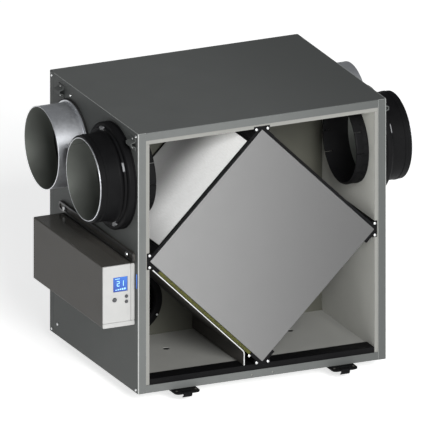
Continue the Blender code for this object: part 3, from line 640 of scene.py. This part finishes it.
def casing_side(side, name):
    """One side: a flat with two duct holes, a rounded bend and the front flange."""
    part = bmesh.new()
    edges = []
    for points in (
        rectangle((SIDE_BEND, 0), (SIDE_DEPTH, HEIGHT)),
        circle(FRONT_PORT_Y, PORT_Z, DUCT_R + GAP),
        circle(REAR_PORT_Y, PORT_Z, SPIGOT_R),
    ):
        edges += ring(part, "YZ", points, side * HALF)
    front = edges[3]
    fill(part, edges)
    end = bend(part, front, (side * (HALF - SIDE_BEND), SIDE_BEND, 0), UP, -side * QUARTER)
    draw_out(part, end, (-side * (FLANGE - SIDE_BEND), 0, 0))
    piece = join(bmesh.new(), ease(thicken(part, SHEET, OUT[side]), SHEET_EDGE, 1))
    # The front bends and the top rims take the painted highlight coat
    recoat(piece, lambda face: face.normal.z > 0.5 or (
        abs(face.normal.x) > 0.2 and face.normal.y < -0.2))
    put("casing_side_" + name, piece, ["powder_coat", "bend_highlight_coat"],
        stands_for=[name + "_side_panel"])


def casing_lid(name, node, face, inward, lip_holes, drain_holes):
    """The top or the base: a flat sheet whose front tab bends into a lip between the flanges."""
    part = bmesh.new()
    wide = HALF - SHEET - HAIR
    tab = HALF - FLANGE - HAIR
    step = SHEET + HAIR
    outline = [
        (-wide, step), (-tab, step), (-tab, LIP_BEND), (tab, LIP_BEND), (tab, step),
        (wide, step), (wide, BACK_INSIDE), (-wide, BACK_INSIDE),
    ]
    edges = ring(part, "XY", outline, face)
    front = edges[2]
    for x, y in drain_holes:
        edges += ring(part, "XY", circle(x, y, DRAIN_HOLE_R, 24), face)
    fill(part, edges)
    lip_start, lip_end = face + inward * LIP_BEND, face + inward * LIP
    bend(part, front, (0, LIP_BEND, lip_start), OUT[1], -inward * QUARTER, 4)
    lip_edges = ring(part, "XZ", rectangle(
        (-tab, min(lip_start, lip_end)), (tab, max(lip_start, lip_end))))
    for x, z in lip_holes:
        lip_edges += ring(part, "XZ", circle(x, z, 0.002, 16))
    fill(part, lip_edges)
    sheet = ease(thicken(part, SHEET, (0, 0, -inward)), SHEET_EDGE, 1)
    put(name, sheet, ["powder_coat"], stands_for=[node])


def casing_back():
    """The back sheet, which wraps on to both sides, with two pressed fields."""
    part = bmesh.new()
    radius = 0.003
    flat = HALF - radius
    edges = ring(part, "XZ", rectangle((-flat, 0), (flat, HEIGHT)), DEPTH)
    uprights = {-1: edges[3], 1: edges[1]}
    for low, high in (((-0.205, 0.030), (-0.012, 0.458)), ((0.012, 0.030), (0.205, 0.458))):
        sunk = rectangle((low[0] + PRESS_SLOPE, low[1] + PRESS_SLOPE),
                         (high[0] - PRESS_SLOPE, high[1] - PRESS_SLOPE))
        outer = ring(part, "XZ", softened(rectangle(low, high), 0.012, 5), DEPTH)
        inner = ring(part, "XZ", softened(sunk, 0.010, 5), DEPTH - PRESS_DEPTH)
        bmesh.ops.bridge_loops(part, edges=outer + inner)
        fill(part, inner)
        edges += outer
    fill(part, edges)
    for side, upright in uprights.items():
        end = bend(part, upright, (side * flat, DEPTH - radius, 0), UP, -side * QUARTER)
        draw_out(part, end, (0, SIDE_DEPTH + GAP - (DEPTH - radius), 0))
    sheet = ease(thicken(part, SHEET, BACKWARD), SHEET_EDGE, 1)
    put("casing_back", sheet, ["powder_coat"], stands_for=["back_panel"])


def casing_fixings():
    """Rivets near the sides' corners, and the screws of the sides and of the back."""
    piece = bmesh.new()
    for side, out in OUT.items():
        for y in (0.0100, 0.3775):
            for z in (0.4805, 0.0055):
                rivet(piece, (side * HALF, y, z), out, 0.0026)
        for y, z in ((0.295, 0.468), (0.351, 0.459), (0.351, 0.022)):
            screw(piece, (side * HALF, y, z), out, 0.0028)
    for x in (-0.195, -0.022, 0.022, 0.195):
        for z in (0.042, 0.244, 0.446):
            screw(piece, (x, DEPTH - PRESS_DEPTH, z), BACKWARD, 0.0018)
    put("casing_fixings", piece, ["zinc_plate"])


# ---- Core, filters, mat, screen ----

def diamond(reach):
    return [(reach, CORE_Z), (0, CORE_Z + reach), (-reach, CORE_Z), (0, CORE_Z - reach)]


def core_plates():
    """The two end plates of the core, with softened corners and eased edges."""
    for name, front in (("core_front_plate", 0.0), ("core_back_plate", CORE_BACK - END_PLATE)):
        outline = softened(diamond(CORE_REACH), 0.0012, 4)
        sheet = plate([outline], "XZ", front, front + END_PLATE, 0.0004, 2)
        put(name + "_sheet", sheet, ["satin_aluminium"], "core", [name])


def core_stack():
    """Foil plates with edge bars that close every other layer on each pair of faces."""
    piece = bmesh.new()
    start = END_PLATE + GAP
    end = CORE_BACK - END_PLATE - GAP
    pitch = (end - start - FOIL) / LAYERS
    reach = CORE_REACH - FACE_INSET * ROOT2
    side = reach * ROOT2
    bar = 0.0022
    for layer in range(LAYERS + 1):
        y = start + pitch * layer
        join(piece, plate([diamond(reach)], "XZ", y, y + FOIL))
        if layer == LAYERS:
            break
        for near in (side / 2 - bar, -side / 2):
            low = (-side / 2, y + FOIL, near)
            high = (side / 2, y + pitch, near + bar)
            turn = Matrix.Rotation(math.radians(45 if layer % 2 else -45), 4, "Y")
            join(piece, block(low, high), Matrix.Translation((0, 0, CORE_Z)) @ turn)
    put("core_foil_stack", piece, ["foil_plates"], "core", ["core_block"])


def core_edge_strips():
    """Folded angles that bind the four long edges of the core."""
    piece = bmesh.new()
    arm = 0.013
    step = arm / ROOT2
    path = [(CORE_REACH - step, -step), (CORE_REACH, 0), (CORE_REACH - step, step)]
    for corner in CORNERS:
        sheet = folded(softened(path, 0.0012, 3, closed=False), "XZ", END_PLATE + GAP,
                       CORE_BACK - END_PLATE - GAP, 0.0008, (1, 0, 1))
        join(piece, sheet, corner)
    put("core_edge_strips", piece, ["satin_aluminium"], "core")


def face_slab(part, side_x, side_z):
    """Moves a shape on to a face of the core: its X along the face, Y back, Z off it."""
    along = Vector((-side_x, 0, side_z)) / ROOT2
    off = Vector((side_x, 0, side_z)) / ROOT2
    turn = Matrix((along, BACKWARD, off)).transposed().to_4x4()
    apex = Matrix.Translation((side_x * CORE_REACH, 0, CORE_Z))
    bmesh.ops.transform(part, matrix=apex @ turn, verts=part.verts)
    return tidy(part)


def filters():
    """White felt pads in black edge channels, one on each upper face of the core."""
    near, far = FACE_CLEAR, FACE_CLEAR + FILTER_THICK
    border, pad = [
        rectangle((FACE_START + rim, PAD_FRONT + rim), (FACE_END - rim, PAD_BACK - rim))
        for rim in (FILTER_RIM, FILTER_RIM + HAIR)
    ]
    outline = rectangle((FACE_START, PAD_FRONT), (FACE_END, PAD_BACK))
    for side, name in SIDES:
        piece = bmesh.new()
        channel = plate([outline, border], "XY", near, far, 0.0006)
        felt = plate([pad], "XY", near + 0.0004, far - 0.0006, 0.0008)
        join(piece, face_slab(channel, side, 1))
        join(piece, face_slab(felt, side, 1), finish=1)
        put("filter_pad_" + name, piece, ["black_moulding", "filter_felt"],
            name + "_filter", ["filter_" + name])


def drip_mat():
    """The foam mat under the lower left face, with soft edges."""
    outline = softened(rectangle((FACE_START, PAD_FRONT), (FACE_END, PAD_BACK)), 0.003, 3)
    slab = plate([outline], "XY", FACE_CLEAR, FACE_CLEAR + MAT_THICK, 0.0016, 3)
    mat = put("drip_mat_foam", face_slab(slab, -1, -1), ["olive_foam"], "mat",
              ["drip_mat"])


def drip_screen():
    """The sheet under the mat, which ends in a leg on the sill; its cut front edge is bare."""
    apex = Vector((-CORE_REACH, CORE_Z)) + Vector((-1, -1)) / ROOT2 * SCREEN_FACE
    along = Vector((1, -1)) / ROOT2
    first, last = apex + along * 0.016, apex + along * 0.267
    path = [first, last, (last.x, SILL_TOP + GAP)]
    sheet = folded(softened(path, 0.004, 5, closed=False), "XZ", 0.0016, 0.2262, 0.0020,
                   (-1, 0, -1), 0.0003)
    piece = join(bmesh.new(), sheet)
    recoat(piece, lambda face: face.normal.y < -0.6)
    # A known fault: nothing holds this screw, and the mat passes through it on its way out
    screw(piece, (last.x + 0.0102, 0.0012, 0.0425), FORWARD, 0.0027, 1)
    put("drip_screen_sheet", piece, ["warm_coat", "zinc_plate"],
        stands_for=["drip_screen"])


def rail_fixings():
    """Two bright screws on the front of each rail."""
    piece = bmesh.new()
    for corner in CORNERS:
        for across in (-0.011, 0.011):
            at = corner @ Vector((CORE_REACH + 0.0012, 0.0005, across))
            screw(piece, at, FORWARD, 0.0026)
    put("rail_fixings", piece, ["zinc_plate"])


def front_sill():
    """The black sill across the foot of the opening, with the notch of the lowest rail."""
    groove = 0.0153
    outline = [
        (-LINER_X, FLOOR_TOP), (LINER_X, FLOOR_TOP), (LINER_X, SILL_TOP), (groove, SILL_TOP),
        (groove, PAN_TOP), (-groove, PAN_TOP), (-groove, SILL_TOP), (-LINER_X, SILL_TOP),
    ]
    bar = plate([outline], "XZ", SHEET + GAP, SILL_BACK, 0.0008, 2)
    put("sill_bar", bar, ["black_moulding"], stands_for=["front_sill"])


def drain_fittings():
    """Hose spouts under the pan: a seat, a shoulder and three barbs."""
    for (x, y), name in zip(DRAINS, ("left", "right")):
        profile = [(0.006, PAN_TOP - 0.001), (0.006, -GAP), (0.011, -GAP), (0.011, -0.0039),
                   (0.0104, -0.0045), (0.0054, -0.0045)]
        for barb in (-0.0080, -0.0125, -0.0170):
            profile += [(0.0054, barb), (0.006, barb - 0.0004), (0.0054, barb - 0.0030)]
        profile += [(0.0054, -0.0214), (0.0050, -0.022), (0.0045, -0.022),
                    (0.0045, PAN_TOP - 0.001)]
        spout = turned(profile, 32)
        put("drain_fitting_" + name, join(bmesh.new(), spout, Matrix.Translation((x, y, 0))),
            ["black_moulding"], stands_for=["drain_spout_" + name])


# ---- Duct collars ----

def arc(centre, radius, start, end, steps=6):
    """Points on part of a circle, its angles in degrees."""
    turns = [math.radians(start + (end - start) * step / steps) for step in range(steps + 1)]
    return [(centre[0] + radius * math.cos(a), centre[1] + radius * math.sin(a)) for a in turns]


def port_point(side, centre_y, angle, radius, out):
    """A place round a port, at some height off the side."""
    turn = math.radians(angle)
    return Vector((
        side * (HALF + out), centre_y + radius * math.cos(turn), PORT_Z + radius * math.sin(turn)))


def port(side, centre_y):
    """The matrix that stands a shape made along Z on a port."""
    return aimed(OUT[side], (side * HALF, centre_y, PORT_Z))


def intake_collar(side, name):
    """A black collar: a thick rounded flange, a filleted ring, lugs and a crown of fingers."""
    out = 0.0004
    crown = -SPIGOT_IN + FINGER_LENGTH
    profile = [(DUCT_R + GAP, 0.002), (DUCT_R + GAP, COLLAR_OUT - 0.0008),
               (DUCT_R + 0.0009, COLLAR_OUT)]
    profile += arc((RING_R - 0.0014, COLLAR_OUT - 0.0014), 0.0014, 90, 0, 4)
    profile += [(RING_R, COLLAR_OUT - 0.009), (RING_R + 0.0007, COLLAR_OUT - 0.0095),
                (RING_R + 0.0007, COLLAR_OUT - 0.0125), (RING_R, COLLAR_OUT - 0.013)]
    profile += arc((RING_R + 0.0055, FLANGE_OUT + 0.0050), 0.0055, 180, 262, 7)
    profile += arc((RING_R + 0.0075, FLANGE_OUT - 0.0020), 0.0024, 96, 20, 5)
    profile += [(RING_R + 0.0102, FLANGE_OUT - 0.0034)]
    profile += arc((FLANGE_R - 0.0045, FLANGE_OUT - 0.0085), 0.0045, 80, 0, 7)
    profile += [(FLANGE_R, 0.0050), (FLANGE_R - 0.0012, 0.0046), (FLANGE_R - 0.0012, 0.0034),
                (FLANGE_R, 0.0030), (FLANGE_R, out), (DUCT_R, out), (DUCT_R, crown),
                (SPIGOT_R, crown), (SPIGOT_R, 0.002)]
    piece = bmesh.new()
    at = port(side, FRONT_PORT_Y)
    join(piece, turned(profile), at)
    sweep = math.radians(360 / FINGERS) - FINGER_SLIT / DUCT_R
    finger = [(DUCT_R, crown), (DUCT_R + 0.0012, -SPIGOT_IN + 0.0030), (DUCT_R, -SPIGOT_IN),
              (SPIGOT_R, -SPIGOT_IN), (SPIGOT_R, crown)]
    for index in range(FINGERS):
        join(piece, sector(finger, TURN * index / FINGERS, sweep, 6), at)
    rib = [(DUCT_R - HAIR, -0.0240), (DUCT_R + 0.0011, -0.0250), (DUCT_R + 0.0011, crown),
           (DUCT_R - HAIR, crown)]
    for index in range(2 * FINGERS):
        join(piece, sector(rib, TURN * index / (2 * FINGERS) + 0.04, 0.05, 1), at)
    for angle in LUG_ANGLES:
        lug(piece, side, angle)
    put("intake_collar_" + name, piece, ["black_moulding", "grey_clip"],
        stands_for=["collar_front_" + name])


def lug(piece, side, angle):
    """A grey clip on the flange: a sloping pad with rounded corners."""
    pad = plate([softened(rectangle((-0.0056, -0.0085), (0.0060, 0.0085)), 0.0022, 3)], "XY",
                0, 0.0036, 0.0009, 2)
    at = port_point(side, FRONT_PORT_Y, angle, LUG_R, FLANGE_OUT - 0.0036)
    spin = Matrix.Rotation(math.radians(angle) * side, 4, "Z")
    lean = Matrix.Rotation(math.radians(14), 4, "Y")
    join(piece, pad, aimed(OUT[side], at) @ spin @ lean, 1)


def shade_duct_inside(piece, port_y, wall):
    """Gives a duct's inner skin its second finish, which is painted shade."""
    def inside(face):
        middle = face.calc_center_median()
        return math.hypot(middle.y - port_y, middle.z - PORT_Z) < DUCT_R - wall * 0.9

    recoat(piece, inside)


def intake_sleeve(side, name):
    """The thin sheet sleeve inside a collar, with a rolled rim and a lapped seam."""
    wall = 0.0012
    rim = 0.0008
    profile = [(DUCT_R, 0.0023), (DUCT_R, SLEEVE_OUT - 2 * rim)]
    profile += arc((DUCT_R - wall / 2, SLEEVE_OUT - rim), rim, 0, 180, 8)
    profile += [(DUCT_R - wall, SLEEVE_OUT - 2 * rim), (DUCT_R - wall, 0.0023)]
    piece = bmesh.new()
    at = port(side, FRONT_PORT_Y)
    join(piece, turned(profile), at)
    shade_duct_inside(piece, FRONT_PORT_Y, wall)
    lap = [(DUCT_R - wall, 0.0026), (DUCT_R - wall, SLEEVE_OUT - 0.003),
           (DUCT_R - wall - 0.0007, SLEEVE_OUT - 0.003), (DUCT_R - wall - 0.0007, 0.0026)]
    join(piece, sector(lap, math.radians(140), 0.09, 3), at, 1)
    put("intake_sleeve_" + name, piece, ["galvanised", "duct_shade_zinc"],
        stands_for=["sleeve_front_" + name])


def outlet_collar(side, name):
    """A plain sheet collar on the rear port: a seat, a lapped seam and a rolled rim."""
    wall = 0.0012
    seat = 0.0036
    foot = 0.079
    profile = [(foot, seat), (foot, seat + wall - 0.0003), (foot - 0.0003, seat + wall)]
    profile += arc((DUCT_R + 0.002, seat + wall + 0.002), 0.002, 270, 180, 5)
    profile += [(DUCT_R, COLLAR_OUT - 0.0015)]
    profile += arc((DUCT_R - wall / 2, COLLAR_OUT - 0.0009), 0.0009, 0, 180, 6)
    profile += [(DUCT_R - wall, COLLAR_OUT - 0.0015), (DUCT_R - wall, seat)]
    piece = bmesh.new()
    at = port(side, REAR_PORT_Y)
    join(piece, turned(profile), at)
    shade_duct_inside(piece, REAR_PORT_Y, wall)
    seam = [(DUCT_R + 0.0006, seat + 0.004), (DUCT_R + 0.0006, 0.055), (DUCT_R - HAIR, 0.055),
            (DUCT_R - HAIR, seat + 0.004)]
    join(piece, sector(seam, math.radians(205), 0.10, 3), at)
    for angle in (20, 110, 200, 290):
        at = port_point(side, REAR_PORT_Y, angle, 0.0772, seat + wall)
        rivet(piece, at, OUT[side], 0.0014)
    put("outlet_collar_" + name, piece, ["galvanised", "duct_shade_zinc"],
        stands_for=["collar_rear_" + name])


# ---- Fans ----

def fan_wheel(side, name, body):
    """A backward curved wheel: back plate with a hub, shroud with a rounded eye, twelve blades."""
    piece = bmesh.new()
    at = aimed(BACKWARD, (side * FAN_X, FAN_FRONT, FAN_Z))
    depth = FAN_BACK - FAN_FRONT
    shroud = [(FAN_R, 0.0004), (FAN_R, 0.0020), (0.0535, 0.0026), (0.0515, 0.0062),
              (0.0503, 0.0062), (0.0500, 0.0020), (0.0512, 0.0), (FAN_R - 0.0006, 0.0)]
    join(piece, turned(shroud, 64), at)
    hub = [(FAN_R, depth), (FAN_R, depth - 0.0024), (0.030, depth - 0.0024),
           (0.0255, depth - 0.006), (0.0140, depth - 0.0125), (0.0085, depth - 0.0135),
           (0.0044, depth - 0.0135), (0.0044, depth)]
    join(piece, turned(hub, 64), at)
    for index in range(BLADES):
        blade = bmesh.new()
        edge, = chain(blade, [(0.0395, 0, 0.0016), (0.0385, 0, depth - 0.0026)], closed=False)
        bend(blade, edge, (0.0600, 0.0210, 0), UP, math.radians(48), 8)
        thicken(blade, 0.0012, OUT[1])
        join(piece, blade, at @ Matrix.Rotation(TURN * index / BLADES, 4, "Z"))
    put(name + "_wheel_blades", piece, ["black_moulding"], body,
        [name + "_fan_wheel"])


def inlet_bell(side, name):
    """The rounded mouth in the partition that leads air into a wheel, with three screws."""
    piece = bmesh.new()
    front = PARTITION_Y - GAP
    at = aimed(BACKWARD, (side * FAN_X, front, FAN_Z))
    throat_end = FAN_FRONT - 0.0008 - front
    profile = [(0.0590, 0.0), (0.0590, -0.0016), (0.0584, -0.0020), (0.0530, -0.0020)]
    profile += arc((0.0510, 0.0045), 0.0065, 270, 180, 8)
    profile += [(0.0445, throat_end), (0.0465, throat_end)]
    profile += arc((0.0510, 0.0045), 0.0045, 180, 250, 6)
    join(piece, turned(profile, 72), at)
    for angle in (90, 210, 330):
        turn = math.radians(angle)
        spot = (side * FAN_X + 0.0560 * math.cos(turn), front - 0.0020,
                FAN_Z + 0.0560 * math.sin(turn))
        screw(piece, spot, FORWARD, 0.0020, 1)
    put(name + "_inlet_bell", piece, ["black_moulding", "zinc_plate"],
        stands_for=[name + "_inlet_ring"])


# ---- Control box ----

def controller_case():
    """The folded housing: open towards the fascia and the wall, with a hole for the gland."""
    part = bmesh.new()
    front = BOX_FRONT + FASCIA + GAP
    outline = [(BOX_INNER, BOX_BOTTOM), (BOX_OUTER, BOX_BOTTOM), (BOX_OUTER, BOX_TOP),
               (BOX_INNER, BOX_TOP)]
    soft = softened(outline, 0.0022, 4, closed=False)
    edges = chain(part, [on_plane("XZ", *point, front) for point in soft], closed=False)
    rim = [edge for edge in draw_out(part, edges, (0, BOX_BACK - front, 0))
           if all(abs(v.co.y - BOX_BACK) < 1e-6 for v in edge.verts)]
    ends = [v for edge in rim for v in edge.verts if abs(v.co.x - BOX_INNER) < 1e-6]
    rim.append(part.edges.new(ends))
    fill(part, rim + ring(part, "XZ", circle(*GLAND, 0.0083, 32), BOX_BACK))
    case = ease(thicken(part, BOX_WALL, OUT[-1]), 0.0004, 1)
    piece = join(bmesh.new(), case)
    outside_top = BOX_TOP - BOX_WALL / 2
    recoat(piece, lambda face: face.normal.z > 0.9 and face.calc_center_median().z > outside_top)
    put("controller_case", piece, ["warm_coat", "wiped_coat"],
        stands_for=["control_box_housing"])


def controller_rail():
    """The strip above the housing: rounded ends, a long groove and two screws."""
    wall = BOX_INNER
    low, high = (0.012, 0.244), (0.335, 0.261)
    piece = bmesh.new()
    outline = softened(rectangle(low, high), 0.007, 6)
    join(piece, plate([outline], "YZ", wall - 0.0032, wall, 0.0006, 2), finish=2)
    groove = rectangle((low[0] + 0.0035, low[1] + 0.0042), (high[0] - 0.0035, high[1] - 0.0042))
    inner = softened(groove, 0.004, 6)
    join(piece, plate([outline, inner], "YZ", wall - 0.0050, wall - 0.0030, 0.0007, 2))
    for y in (0.038, 0.309):
        screw(piece, (wall - 0.0050, y, 0.2525), OUT[-1], 0.0046, 1)
    put("controller_rail", piece, ["black_coat", "zinc_plate", "warm_coat"],
        stands_for=["control_box_flange"])


def fascia():
    """The moulded front: a main panel with its window and key holes, over a narrow strip."""
    outer, wall = BOX_OUTER, BOX_INNER
    seam = BOX_BOTTOM + FASCIA_SEAM
    piece = bmesh.new()
    half_x, half_z = (size / 2 + GAP for size in DISPLAY_SIZE)
    window = rectangle((DISPLAY[0] - half_x, DISPLAY[1] - half_z),
                       (DISPLAY[0] + half_x, DISPLAY[1] + half_z))
    holes = [circle(x, z, radius + 0.0004, 24) for x, z, radius in BUTTONS.values()]
    main = softened(rectangle((outer, seam + 0.0003), (wall - FASCIA_EDGE, BOX_TOP)), 0.0010, 3)
    side_low = (wall - FASCIA_EDGE + 0.0006, seam + 0.0003)
    side_strip = softened(rectangle(side_low, (wall, BOX_TOP)), 0.0018, 4)
    strip = softened(rectangle((outer, BOX_BOTTOM), (wall, seam - 0.0003)), 0.0012, 4)
    for loops, edge, steps in (
        ([main, window, *holes], 0.0005, 2), ([strip], 0.0005, 2), ([side_strip], 0.0016, 4),
    ):
        join(piece, plate(loops, "XZ", BOX_FRONT, BOX_FRONT + FASCIA, edge, steps))
    put("controller_fascia", piece, ["grey_abs"],
        stands_for=["control_front_panel"])


def display():
    """The window with two large figures and small marks, and the blue lens on the side sheet."""
    x, z = DISPLAY
    wide, high = DISPLAY_SIZE
    front = LENS_FRONT
    piece = bmesh.new()
    glass = rectangle((x - wide / 2, z - high / 2), (x + wide / 2, z + high / 2))
    join(piece, plate([glass], "XZ", front, BOX_FRONT + FASCIA - 0.0004, 0.0003, 1))
    join(piece, block((-HALF - 0.0012, 0.0042, z - 0.009), (-HALF - HAIR, 0.0066, z + 0.018)))
    mark_y = (front - 0.00012, front + 0.0001)

    def bar(low, size):
        corner = (low[0], mark_y[0], low[1])
        join(piece, block(corner, (low[0] + size[0], mark_y[1], low[1] + size[1])), finish=1)

    digit_w, digit_h, stroke = 0.0052, 0.0098, 0.0011
    segments = {"2": "abged", "1": "bc"}
    for figure, left in (("2", x - 0.0068), ("1", x + 0.0012)):
        bottom = z - 0.0034
        lit = {
            "a": ((left, bottom + digit_h - stroke), (digit_w, stroke)),
            "b": ((left + digit_w - stroke, bottom + digit_h / 2), (stroke, digit_h / 2)),
            "c": ((left + digit_w - stroke, bottom), (stroke, digit_h / 2)),
            "d": ((left, bottom), (digit_w, stroke)),
            "e": ((left, bottom), (stroke, digit_h / 2)),
            "g": ((left, bottom + digit_h / 2 - stroke / 2), (digit_w, stroke)),
        }
        for letter in segments[figure]:
            bar(*lit[letter])
    for index in range(5):
        bar((x - 0.0096 + index * 0.0042, z - 0.0105), (0.0028, 0.0012 + 0.0005 * index))
    bar((x - 0.0102, z + 0.0100), (0.0090, 0.0009))
    put("display_window", piece, ["blue_window", "display_mark"],
        stands_for=["display_lens"])


def keys():
    """Three round keys with dished tops, each on its own body."""
    for name, (x, z, radius) in BUTTONS.items():
        profile = [(0, 0.0062), (radius + 0.0015, 0.0062), (radius + 0.0015, 0.0048),
                   (radius, 0.0048), (radius, 0.0007)]
        profile += arc((radius - 0.0007, 0.0007), 0.0007, 0, -90, 4)
        profile += [(radius - 0.0012, 0.0), (radius * 0.45, 0.0003), (0, 0.0004)]
        key = turned(profile, 32, closed=False)
        piece = join(bmesh.new(), key, aimed(BACKWARD, (x, BOX_FRONT - BUTTON_RISE, z)))
        put(name + "_key_cap", piece, ["key_rubber"], name + "_key",
            [name + "_button"])


def cable_gland():
    """The gland in the back of the housing: a hexagonal nut and a fluted dome."""
    piece = bmesh.new()
    at = aimed(BACKWARD, (GLAND[0], BOX_BACK, GLAND[1]))
    body = [(0.0080, GAP), (0.0080, -0.006), (0.0055, -0.006), (0.0055, 0.0110), (0.0075, 0.0110),
            (0.0090, 0.0104), (0.0100, 0.0085), (0.0104, 0.0050), (0.0104, GAP)]
    join(piece, turned(body, 48), at)
    nut = [circle(0, 0, 0.0124, 6), circle(0, 0, 0.0103, 48)]
    join(piece, plate(nut, "XY", GAP, 0.0046, 0.0005, 2), at)
    for index in range(12):
        flute = block((-0.0006, 0.0098, 0.0050), (0.0006, 0.0110, 0.0088), 0.0003, 1)
        join(piece, flute, at @ Matrix.Rotation(TURN * index / 12, 4, "Z"))
    put("gland_body", piece, ["black_moulding"], stands_for=["cable_gland"])


# ---- Hangers and door supports ----

def hangers():
    """Zinc strap brackets: two riveted feet and a bridge that leaves a slot for a strap."""
    low, high = 0.454, 0.477
    for side, side_name in SIDES:
        for y, end_name in ((0.021, "front"), (0.335, "rear")):
            piece = bmesh.new()
            path = [
                (GAP, low), (GAP, low + 0.0062), (0.00825, low + 0.0082),
                (0.00825, high - 0.0082), (GAP, high - 0.0062), (GAP, high),
            ]
            outline = [(side * (HALF + out + 0.0015), z) for out, z in path]
            soft = softened(outline, 0.0012, 3, closed=False)
            span = (y - 0.011, y + 0.011)
            join(piece, folded(soft, "XZ", *span, 0.0015, OUT[side], 0.0003))
            for z in (low + 0.0030, high - 0.0030):
                at = (side * (HALF + GAP + 0.0015), y, z)
                rivet(piece, at, OUT[side], 0.0019, 1)
            name = f"hanging_bracket_{end_name}_{side_name}"
            put("strap_" + name, piece, ["powder_coat", "zinc_plate"],
                stands_for=[name])


def door_supports():
    """Black leaves under the front edge, each with a curled tongue and two screws."""
    thick = 0.003
    for side, name in SIDES:
        x = side * 0.153
        piece = bmesh.new()
        outline = softened(rectangle((x - 0.0245, -0.023), (x + 0.0245, 0.025)), 0.010, 6)
        join(piece, plate([outline], "XY", -GAP - thick, -GAP, 0.0007, 2))
        middle = -GAP - thick / 2
        path = [(-0.006, middle - 0.001)] + arc((-0.014, middle - 0.0035), 0.0045, 90, 270, 10)
        join(piece, folded(path, "YZ", x - 0.0085, x + 0.0085, 0.0020, FORWARD, 0.0004))
        for shift in (-0.0185, 0.0185):
            screw(piece, (x + shift, -0.012, -GAP), UP, 0.0022, 1)
            screw(piece, (x + shift * 0.75, 0.014, -GAP - thick), DOWN, 0.0026, 1)
        put("door_leaf_" + name, piece, ["black_moulding", "warm_coat"],
            stands_for=["door_support_" + name])


# ---- What stays as it is, with its finish ----

def coat_nodes():
    """Gives each node that is shown as it is a finish."""
    coats = {
        "bead_foam": ["liner_left", "liner_right", "liner_top", "liner_floor", "liner_back"],
        "tray_moulding": ["drain_pan"],
        "primed_sheet": ["partition", "rear_divider"],
        "black_moulding": ["core_rail_top", "core_rail_left", "core_rail_right",
                           "core_rail_bottom"],
        "seal_foam": ["rear_seal_left", "rear_seal_right"],
        "cast_aluminium": ["exhaust_fan_motor", "supply_fan_motor", "transformer"],
        "solder_mask": ["circuit_board"],
        "galvanised": ["display_module"],
        "grey_abs": ["terminal_block"],
    }
    for finish, names in coats.items():
        for name in names:
            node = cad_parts[name]
            node.data.materials.clear()
            node.data.materials.append(FINISHES[finish])


for side, name in SIDES:
    casing_side(side, name)
    intake_collar(side, name)
    intake_sleeve(side, name)
    outlet_collar(side, name)
casing_lid("casing_top", "top_panel", HEIGHT, -1, [], [])
casing_lid("casing_base", "base_panel", 0, 1, [(-0.020, 0.006), (0.0204, 0.006)], DRAINS)
casing_back()
casing_fixings()
core_plates()
core_stack()
core_edge_strips()
filters()
drip_mat()
drip_screen()
rail_fixings()
front_sill()
drain_fittings()
for side, name in ((-1, "exhaust"), (1, "supply")):
    fan_wheel(side, name, name + "_wheel")
    inlet_bell(side, name)
controller_case()
controller_rail()
fascia()
display()
keys()
cable_gland()
hangers()
door_supports()
coat_nodes()


# ---- Floor, light and camera ----

def floor():
    """A wide pale floor under the lowest pieces, lit a little from within."""
    bm = bmesh.new()
    bmesh.ops.create_grid(bm, x_segments=1, y_segments=1, size=9.0)
    bmesh.ops.translate(bm, vec=(0, 0, cad_low.z - 0.0005), verts=bm.verts)
    mesh = bpy.data.meshes.new("floor")
    bm.to_mesh(mesh)
    bm.free()
    obj = bpy.data.objects.new("floor", mesh)
    bpy.context.scene.collection.objects.link(obj)
    tree, place = start_finish("studio_floor")
    grain = add(tree, "TexNoise", {"Vector": place, "Scale": 3.0})
    end_finish(tree, {
        "Base Color": toned(tree, place, grain.outputs[0], ("f4f4f3", "f8f8f7")),
        "Roughness": 0.9, "Specular IOR Level": 0.1,
        "Emission Color": linear("ffffff"), "Emission Strength": 0.65,
    })
    mesh.materials.append(FINISHES["studio_floor"])


def set_up(name, data, at, way):
    """Stands a lamp or a camera at a place, looking one way."""
    obj = bpy.data.objects.new(name, data)
    obj.location = at
    obj.rotation_mode = "QUATERNION"
    obj.rotation_quaternion = way.to_track_quat("-Z", "Y")
    bpy.context.scene.collection.objects.link(obj)
    return obj


def softbox():
    """One wide lamp in front, high and a little to the left."""
    lamp = bpy.data.lights.new("key_softbox", "AREA")
    lamp.shape = "RECTANGLE"
    lamp.size, lamp.size_y = 4.0, 3.0
    lamp.energy = 800
    at = Vector((-0.8, -7.4, 3.2))
    set_up("key_softbox", lamp, at, Vector((0, 0, -0.2)) - at)


def camera():
    """A long, flat view from the front left and a little above."""
    azimuth, elevation = math.radians(-24), math.radians(19)
    back = Vector((
        math.sin(azimuth) * math.cos(elevation),
        -math.cos(azimuth) * math.cos(elevation),
        math.sin(elevation),
    ))
    lens = bpy.data.cameras.new("camera")
    lens.type = "ORTHO"
    lens.ortho_scale = 0.761
    middle = Vector((-0.0066, 0.0155, -0.2212))
    bpy.context.scene.camera = set_up("camera", lens, middle + back * 3, -back)


def sky():
    """A dim, nearly white world, shown without a film curve."""
    bpy.context.scene.view_settings.view_transform = "Standard"
    world = bpy.data.worlds.new("studio")
    bpy.context.scene.world = world
    world.use_nodes = True
    background = world.node_tree.nodes["Background"].inputs
    background["Color"].default_value = linear("f4f6f8")
    background["Strength"].default_value = 0.2


floor()
sky()
softbox()
camera()
